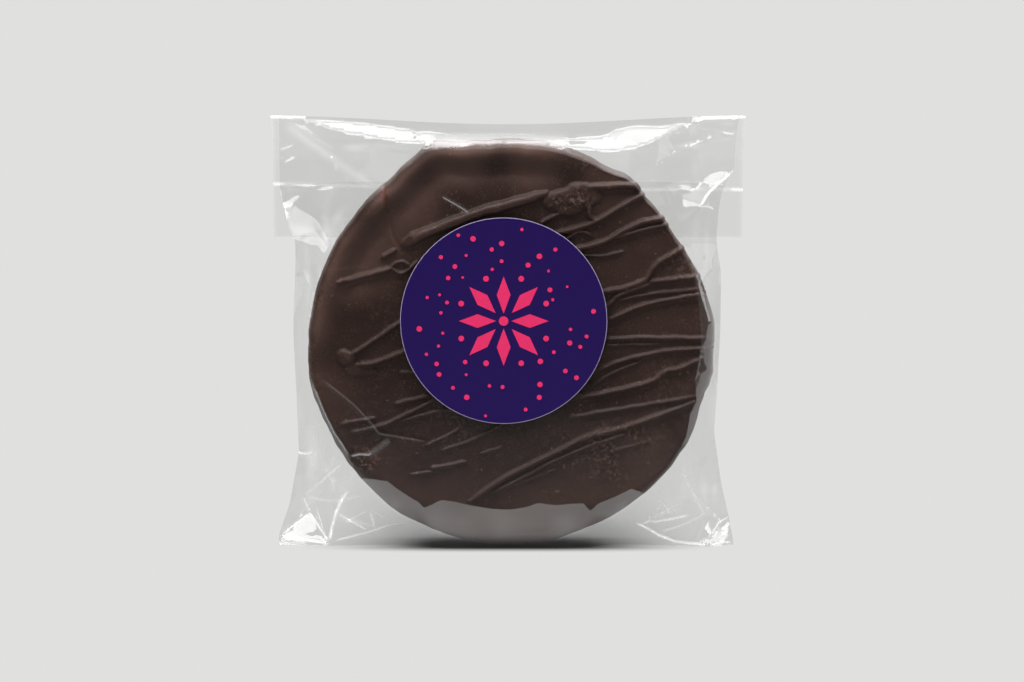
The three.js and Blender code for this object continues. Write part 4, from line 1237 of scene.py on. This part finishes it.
def flap_white(x, z, strip_edge, curl):
    """Milkiness of the flap: its adhesive edge, its free edges, and a painted highlight along the rolled
    ends of the top fold.
    """
    low_edge = np.clip(1 - (z - FLAP_BOTTOM) / LOW_EDGE, 0, 1)
    rolled_highlight = ((x < ROLLED_LEFT) | (x > ROLLED_RIGHT)) * np.clip(1 - (FOLD_ENDS_Z - z) / ROLLED_HEIGHT, 0, 1)
    adhesive = strip_edge * (ADHESIVE_WHITE + TAB_WHITE * smooth(*TABS, np.abs(x)))
    white = np.maximum(adhesive, EDGE_WHITE * np.maximum(curl, low_edge))
    return np.maximum(WHITE_AND_HIGHLIGHT_HAZE * np.maximum(white, rolled_highlight), LOOSE_HAZE)


def make_flap(material):
    """The flap: one sheet over the top fold and down the back, stuck to the back wall below its mouth."""
    z_line, y_line = flap_section()
    x, z = np.meshgrid(np.linspace(-FLAP_HALF, FLAP_HALF, FLAP_COLUMNS + 1), z_line)
    drop = (FOLD_ENDS_Z - fold_top(x)) * smooth(FLAP_BOTTOM, BAG_HEIGHT, z)
    ripple = layered(x, z, FLAP_WAVES) * smooth(0, 0.2, np.linspace(0, 1, FLAP_ROWS + 1))[:, None]
    strip_edge = np.clip(1 - np.abs(z - ADHESIVE_Z + ADHESIVE_SLOPE * x) / ADHESIVE_HALF, 0, 1)
    curl = smooth(FLAP_HALF - CURL_WIDTH, FLAP_HALF, np.abs(x))
    y = y_line[:, None] + ripple + ADHESIVE_RISE * strip_edge - CURL_DEPTH * curl
    y = np.clip(y, cookie_out(x, z - drop, False) + FLAP_GAP, BAG_HIGH.y)
    points = np.dstack([x, y, z - drop]).reshape(-1, 3)
    k = np.arange(FLAP_COLUMNS)
    wide = FLAP_COLUMNS + 1
    faces = np.vstack([np.c_[r * wide + k, r * wide + k + 1, (r + 1) * wide + k + 1, (r + 1) * wide + k]
                       for r in range(FLAP_ROWS)])
    piece = mesh_piece("bag_flap", points, faces, [material])
    add_attribute(piece, "shine", np.full(len(points), LOOSE_SHINE))
    add_attribute(piece, "white", flap_white(x, z, strip_edge, curl).ravel())
    return piece


# ---- Label ----------------------------------------------------------------------------------------

LABEL_SIDES = 144
LABEL_THICK, LABEL_BEVEL, LABEL_BEVEL_WIDTH = 0.14, 0.02, 0.13
LABEL_INSETS = (LABEL_BEVEL_WIDTH, 4, 8, 12, 16)  # rings of its face, in from its edge
MARK_OUT, MARK_SINK = 0.03, 0.02  # the printed marks stand out from the label's face and start in it
# The print: lozenges in a rosette, dots between them and in the middle, and dots scattered round them
PETALS, PETAL_LENGTH, PETAL_WIDTH, PETAL_REACH = 8, 7.0, 2.6, 5.6
PETAL_SHIFT = 0.7  # every other petal stands this much further in
RING_REACH, RING_DOT, MIDDLE_DOT = 8.6, 0.55, 0.9
DOTS, DOT_SIZES, DOT_SPACING, DOT_SEED = 48, (0.25, 0.55), 1.9, 8
DOT_RING_ROOM, DOT_EDGE_ROOM = 1.2, 1.1
RING_DOT_SIDES, MIDDLE_DOT_SIDES, DOT_SIDES = 12, 16, 10


def make_label(paper, edge):
    """Round violet label with a pale cut edge."""
    turn = np.arange(LABEL_SIDES) / LABEL_SIDES * 2 * np.pi

    def ring(radius, out):
        x, z = LABEL_X + radius * np.cos(turn), LABEL_Z + radius * np.sin(turn)
        return np.c_[x, np.full(LABEL_SIDES, -out), z]

    rings = [ring(LABEL_RADIUS, LABEL_OUT - LABEL_THICK), ring(LABEL_RADIUS, LABEL_OUT - LABEL_BEVEL)]
    rings += [ring(LABEL_RADIUS - inset, LABEL_OUT) for inset in LABEL_INSETS]
    faces = ring_faces(len(rings), LABEL_SIDES).tolist()
    end = (len(rings) - 1) * LABEL_SIDES
    faces.append(tuple(end + np.arange(LABEL_SIDES)))
    faces.append(tuple(np.arange(LABEL_SIDES)[::-1]))
    points = np.vstack(rings)
    piece = mesh_piece("label_disc", points, faces, [paper, edge], smooth_faces=False)
    for polygon in piece.data.polygons:
        if polygon.index < 2 * LABEL_SIDES:
            polygon.material_index = 1
    return piece


def mark(x, z, half_length, half_width, angle, sides=4):
    """Outline of a flat mark: a lozenge for 4 sides, and an oval for many."""
    turn = np.arange(sides) / sides * 2 * np.pi
    u, v = half_length * np.cos(turn), half_width * np.sin(turn)
    a = math.radians(angle)
    return np.c_[x + u * math.cos(a) - v * math.sin(a), z + u * math.sin(a) + v * math.cos(a)]


def rosette():
    """Lozenges round a dot, with smaller dots between their points."""
    shapes = []
    for k in range(PETALS):
        angle = 2 * math.pi * k / PETALS
        reach = PETAL_REACH if k % 2 else PETAL_REACH - PETAL_SHIFT
        x, z = reach * math.cos(angle), reach * math.sin(angle)
        shapes.append(mark(x, z, PETAL_LENGTH / 2, PETAL_WIDTH / 2, math.degrees(angle)))
        between = angle + math.pi / PETALS
        x, z = RING_REACH * math.cos(between), RING_REACH * math.sin(between)
        shapes.append(mark(x, z, RING_DOT, RING_DOT, 0, RING_DOT_SIDES))
    shapes.append(mark(0, 0, MIDDLE_DOT, MIDDLE_DOT, 0, MIDDLE_DOT_SIDES))
    return shapes


def scattered_dots():
    """Small dots strewn over the label round the rosette, none of them close to another."""
    random = np.random.default_rng(DOT_SEED)
    shapes, placed = [], []
    while len(placed) < DOTS:
        angle = random.uniform(0, 2 * np.pi)
        reach = random.uniform(RING_REACH + DOT_RING_ROOM, LABEL_RADIUS - DOT_EDGE_ROOM)
        x, z = reach * math.cos(angle), reach * math.sin(angle)
        if any(math.hypot(x - a, z - b) < DOT_SPACING for a, b in placed):
            continue
        placed.append((x, z))
        size = random.uniform(*DOT_SIZES)
        shapes.append(mark(x, z, size, size, 0, DOT_SIDES))
    return shapes


def make_marks(pink):
    """The print, as thin flat shapes on the label."""
    points, faces = [], []
    for shape in rosette() + scattered_dots():
        start, count = len(points), len(shape)
        for out in (LABEL_OUT - MARK_SINK, LABEL_OUT + MARK_OUT):
            points += [(LABEL_X + x, -out, LABEL_Z + z) for x, z in shape]
        faces.append([start + count + k for k in range(count)])
        faces.append([start + count - 1 - k for k in range(count)])
        for k in range(count):
            k2 = (k + 1) % count
            faces.append([start + k, start + k2, start + count + k2, start + count + k])
    return mesh_piece("label_marks", points, faces, [pink], smooth_faces=False)


def build():
    """Every piece, and the CAD node that it stands for."""
    cookie = make_cookie(chocolate_material())
    film = film_material("clear_film")
    front = make_wall("bag_front", -1, FRONT_BENDS, FRONT_SWELLS, FRONT_CREASES, film)
    back = make_wall("bag_back", 1, BACK_BENDS, BACK_SWELLS, BACK_CREASES, film)
    flap = make_flap(film)
    for piece in (cookie, front, back, flap):
        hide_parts("bagged_alfajor")
        piece.visible_shadow = piece == cookie
    violet = paper_material("label_violet", LABEL_VIOLET)
    pink = paper_material("label_pink", LABEL_PINK)
    edge = paper_material("label_edge", LABEL_EDGE)
    for piece in (make_label(violet, edge), make_marks(pink)):
        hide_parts("label")


build()


# ---- Stage, light and camera, in metres -----------------------------------------------------------

BACKDROP = (1, 1, 0.993, 1)  # colour of the seamless backdrop
BACKDROP_GLOW = 0.745  # and how much it glows
NEAR_GLOW, NEAR_FROM, NEAR_TO = 0.12, -0.28, -0.14  # it glows less in front of the picture's lower edge
FLOOR_GREY = 0.17  # grey of the floor round the bag, where the lights light it; set below the backdrop's glow, so it also paints shade round the bag
CONTACT_SHADOW_GREY = 0.35 * FLOOR_GREY  # and a darker grey right under the bag, a painted contact shadow
CONTACT_FROM, CONTACT_TO = 0.009, 0.022  # distances from the middle between which the painted contact shadow turns to the floor's grey
SHADE_HALF = 0.0135  # the floor is fully shaded this far to each side
SHADE_SIDES = 2.8  # how fast the shade thins beyond
SHADE_BEHIND, SHADE_BEHIND_ROOM = 0.7, 0.014  # and behind the bag, and the room before it starts to
SHADE_BEFORE, SHADE_BEFORE_ROOM = 12.0, 0.04  # and in front of it
SHADE_REACH = 0.08  # it is gone at this distance, so thinned
FLOOR_FRONT, FLOOR_BACK, FLOOR_HALF = -2.5, 2.0, 3.5
COVE_RADIUS, COVE_STEPS, WALL_TOP = 0.6, 15, 3.0  # bend between floor and wall


def eased_range(tree, value, start, end, low=0.0, high=1.0):
    """Goes smoothly from low to high as a value goes from start to end."""
    inputs = {"Value": value, "From Min": start, "From Max": end, "To Min": low, "To Max": high}
    return node(tree, "ShaderNodeMapRange", inputs, interpolation_type="SMOOTHSTEP").outputs[0]


def flat_length(tree, a, b):
    """Length of a vector in the plane."""
    vector = node(tree, "ShaderNodeCombineXYZ", {0: a, 1: b}).outputs[0]
    return node(tree, "ShaderNodeVectorMath", {0: vector}, operation="LENGTH").outputs["Value"]


def backdrop_material():
    """Even glow, and round the bag a floor that the lights light and the cookie shades, painted darker than
    the glow, with a painted contact shadow under the bag.
    """
    material, tree = new_material("backdrop")
    where = node(tree, "ShaderNodeNewGeometry").outputs["Position"]
    parts = node(tree, "ShaderNodeSeparateXYZ", {0: where})
    x, y = parts.outputs["X"], parts.outputs["Y"]
    beside = math_node(tree, "SUBTRACT", math_node(tree, "ABSOLUTE", x), SHADE_HALF)
    beside = math_node(tree, "MULTIPLY", math_node(tree, "MAXIMUM", beside, 0.0), SHADE_SIDES)
    behind = math_node(tree, "MULTIPLY_ADD", y, SHADE_BEHIND, -SHADE_BEHIND_ROOM)
    before = math_node(tree, "MULTIPLY_ADD", y, -SHADE_BEFORE, -SHADE_BEFORE_ROOM)
    around = math_node(tree, "MAXIMUM", math_node(tree, "MAXIMUM", behind, 0.0), before)
    share = eased_range(tree, flat_length(tree, beside, around), 0.0, SHADE_REACH)
    strength = eased_range(tree, y, NEAR_FROM, NEAR_TO, NEAR_GLOW, BACKDROP_GLOW)
    # painted contact shadow: the floor's grey darkens towards the middle under the bag
    grey = eased_range(tree, flat_length(tree, x, y), CONTACT_FROM, CONTACT_TO, CONTACT_SHADOW_GREY, FLOOR_GREY)
    lit = node(tree, "ShaderNodeBsdfDiffuse", {"Color": grey}).outputs[0]
    glow = node(tree, "ShaderNodeEmission", {"Color": BACKDROP, "Strength": strength}).outputs[0]
    mixed = node(tree, "ShaderNodeMixShader", {0: share, 1: lit, 2: glow}).outputs[0]
    return finish_material(material, tree, mixed)


def make_stage():
    """Pale seamless backdrop: floor, bend and wall."""
    profile = [(FLOOR_FRONT, 0.0), (FLOOR_BACK, 0.0)]
    for bend in np.linspace(0, np.pi / 2, COVE_STEPS + 1)[1:]:
        rise = COVE_RADIUS - COVE_RADIUS * math.cos(bend)
        profile.append((FLOOR_BACK + COVE_RADIUS * math.sin(bend), rise))
    profile.append((FLOOR_BACK + COVE_RADIUS, WALL_TOP))
    points = [(x, y, z) for y, z in profile for x in (-FLOOR_HALF, FLOOR_HALF)]
    faces = [(2 * k, 2 * k + 1, 2 * k + 3, 2 * k + 2) for k in range(len(profile) - 1)]
    mesh = bpy.data.meshes.new("backdrop")
    mesh.from_pydata(points, [], faces)
    mesh.materials.append(backdrop_material())
    floor = bpy.data.objects.new("backdrop", mesh)
    bpy.context.scene.collection.objects.link(floor)


# Softboxes: name, place, what each faces, width and depth, radiance. The film mirrors the first two.
SOFTBOXES = [
    ("front_box", (-0.1, -0.14, 0.6), (-0.1, -0.14, 0.0), (0.9, 0.44), 10.0),
    ("back_box", (0, 0.79, 0.6), (0, 0.79, 0.0), (1.2, 1.42), 3.2),
    ("fill_card", (0, -0.85, 0.5), (0, 0, 0.04), (1.2, 0.4), 0.8),
    ("side_box", (-0.75, 0.25, 0.28), (0, 0.25, 0.28), (0.45, 0.4), 1.6),
    ("side_box", (0.75, 0.25, 0.28), (0, 0.25, 0.28), (0.45, 0.4), 1.6),
]
ROOM_GLOW = 0.1


def make_lights():
    """The softboxes, and a weak even glow from the room."""
    for name, place, aim, size, radiance in SOFTBOXES:
        light = bpy.data.lights.new(name, "AREA")
        light.shape = "RECTANGLE"
        light.size, light.size_y = size
        light.energy = radiance * math.pi * size[0] * size[1]
        lamp = bpy.data.objects.new(name, light)
        lamp.location = place
        lamp.rotation_euler = (Vector(aim) - Vector(place)).to_track_quat("-Z", "Y").to_euler()
        bpy.context.scene.collection.objects.link(lamp)
    world = bpy.data.worlds.new("room")
    world.use_nodes = True
    background = world.node_tree.nodes["Background"]
    background.inputs[0].default_value = (1, 1, 1, 1)
    background.inputs[1].default_value = ROOM_GLOW
    bpy.context.scene.world = world


CAMERA_AIM = (0.76, 0, 39.1)  # in millimetres
CAMERA_FAR, CAMERA_TILT = 0.65, 6  # distance, and degrees above level
CAMERA_LENS, CAMERA_SENSOR = 120.3, 36


def make_camera():
    """Camera in front of the bag, looking slightly down at it."""
    camera = bpy.data.cameras.new("camera")
    camera.lens = CAMERA_LENS
    camera.sensor_width = CAMERA_SENSOR
    camera.clip_start = 0.01
    holder = bpy.data.objects.new("camera", camera)
    tilt = math.radians(CAMERA_TILT)
    aim = Vector(CAMERA_AIM) * MM
    holder.location = aim + CAMERA_FAR * Vector((0, -math.cos(tilt), math.sin(tilt)))
    holder.rotation_euler = (aim - holder.location).to_track_quat("-Z", "Y").to_euler()
    bpy.context.scene.collection.objects.link(holder)
    bpy.context.scene.camera = holder


make_stage()
make_lights()
make_camera()
scene = bpy.context.scene
scene.view_settings.view_transform = "Standard"
scene.cycles.transparent_max_bounces = 24
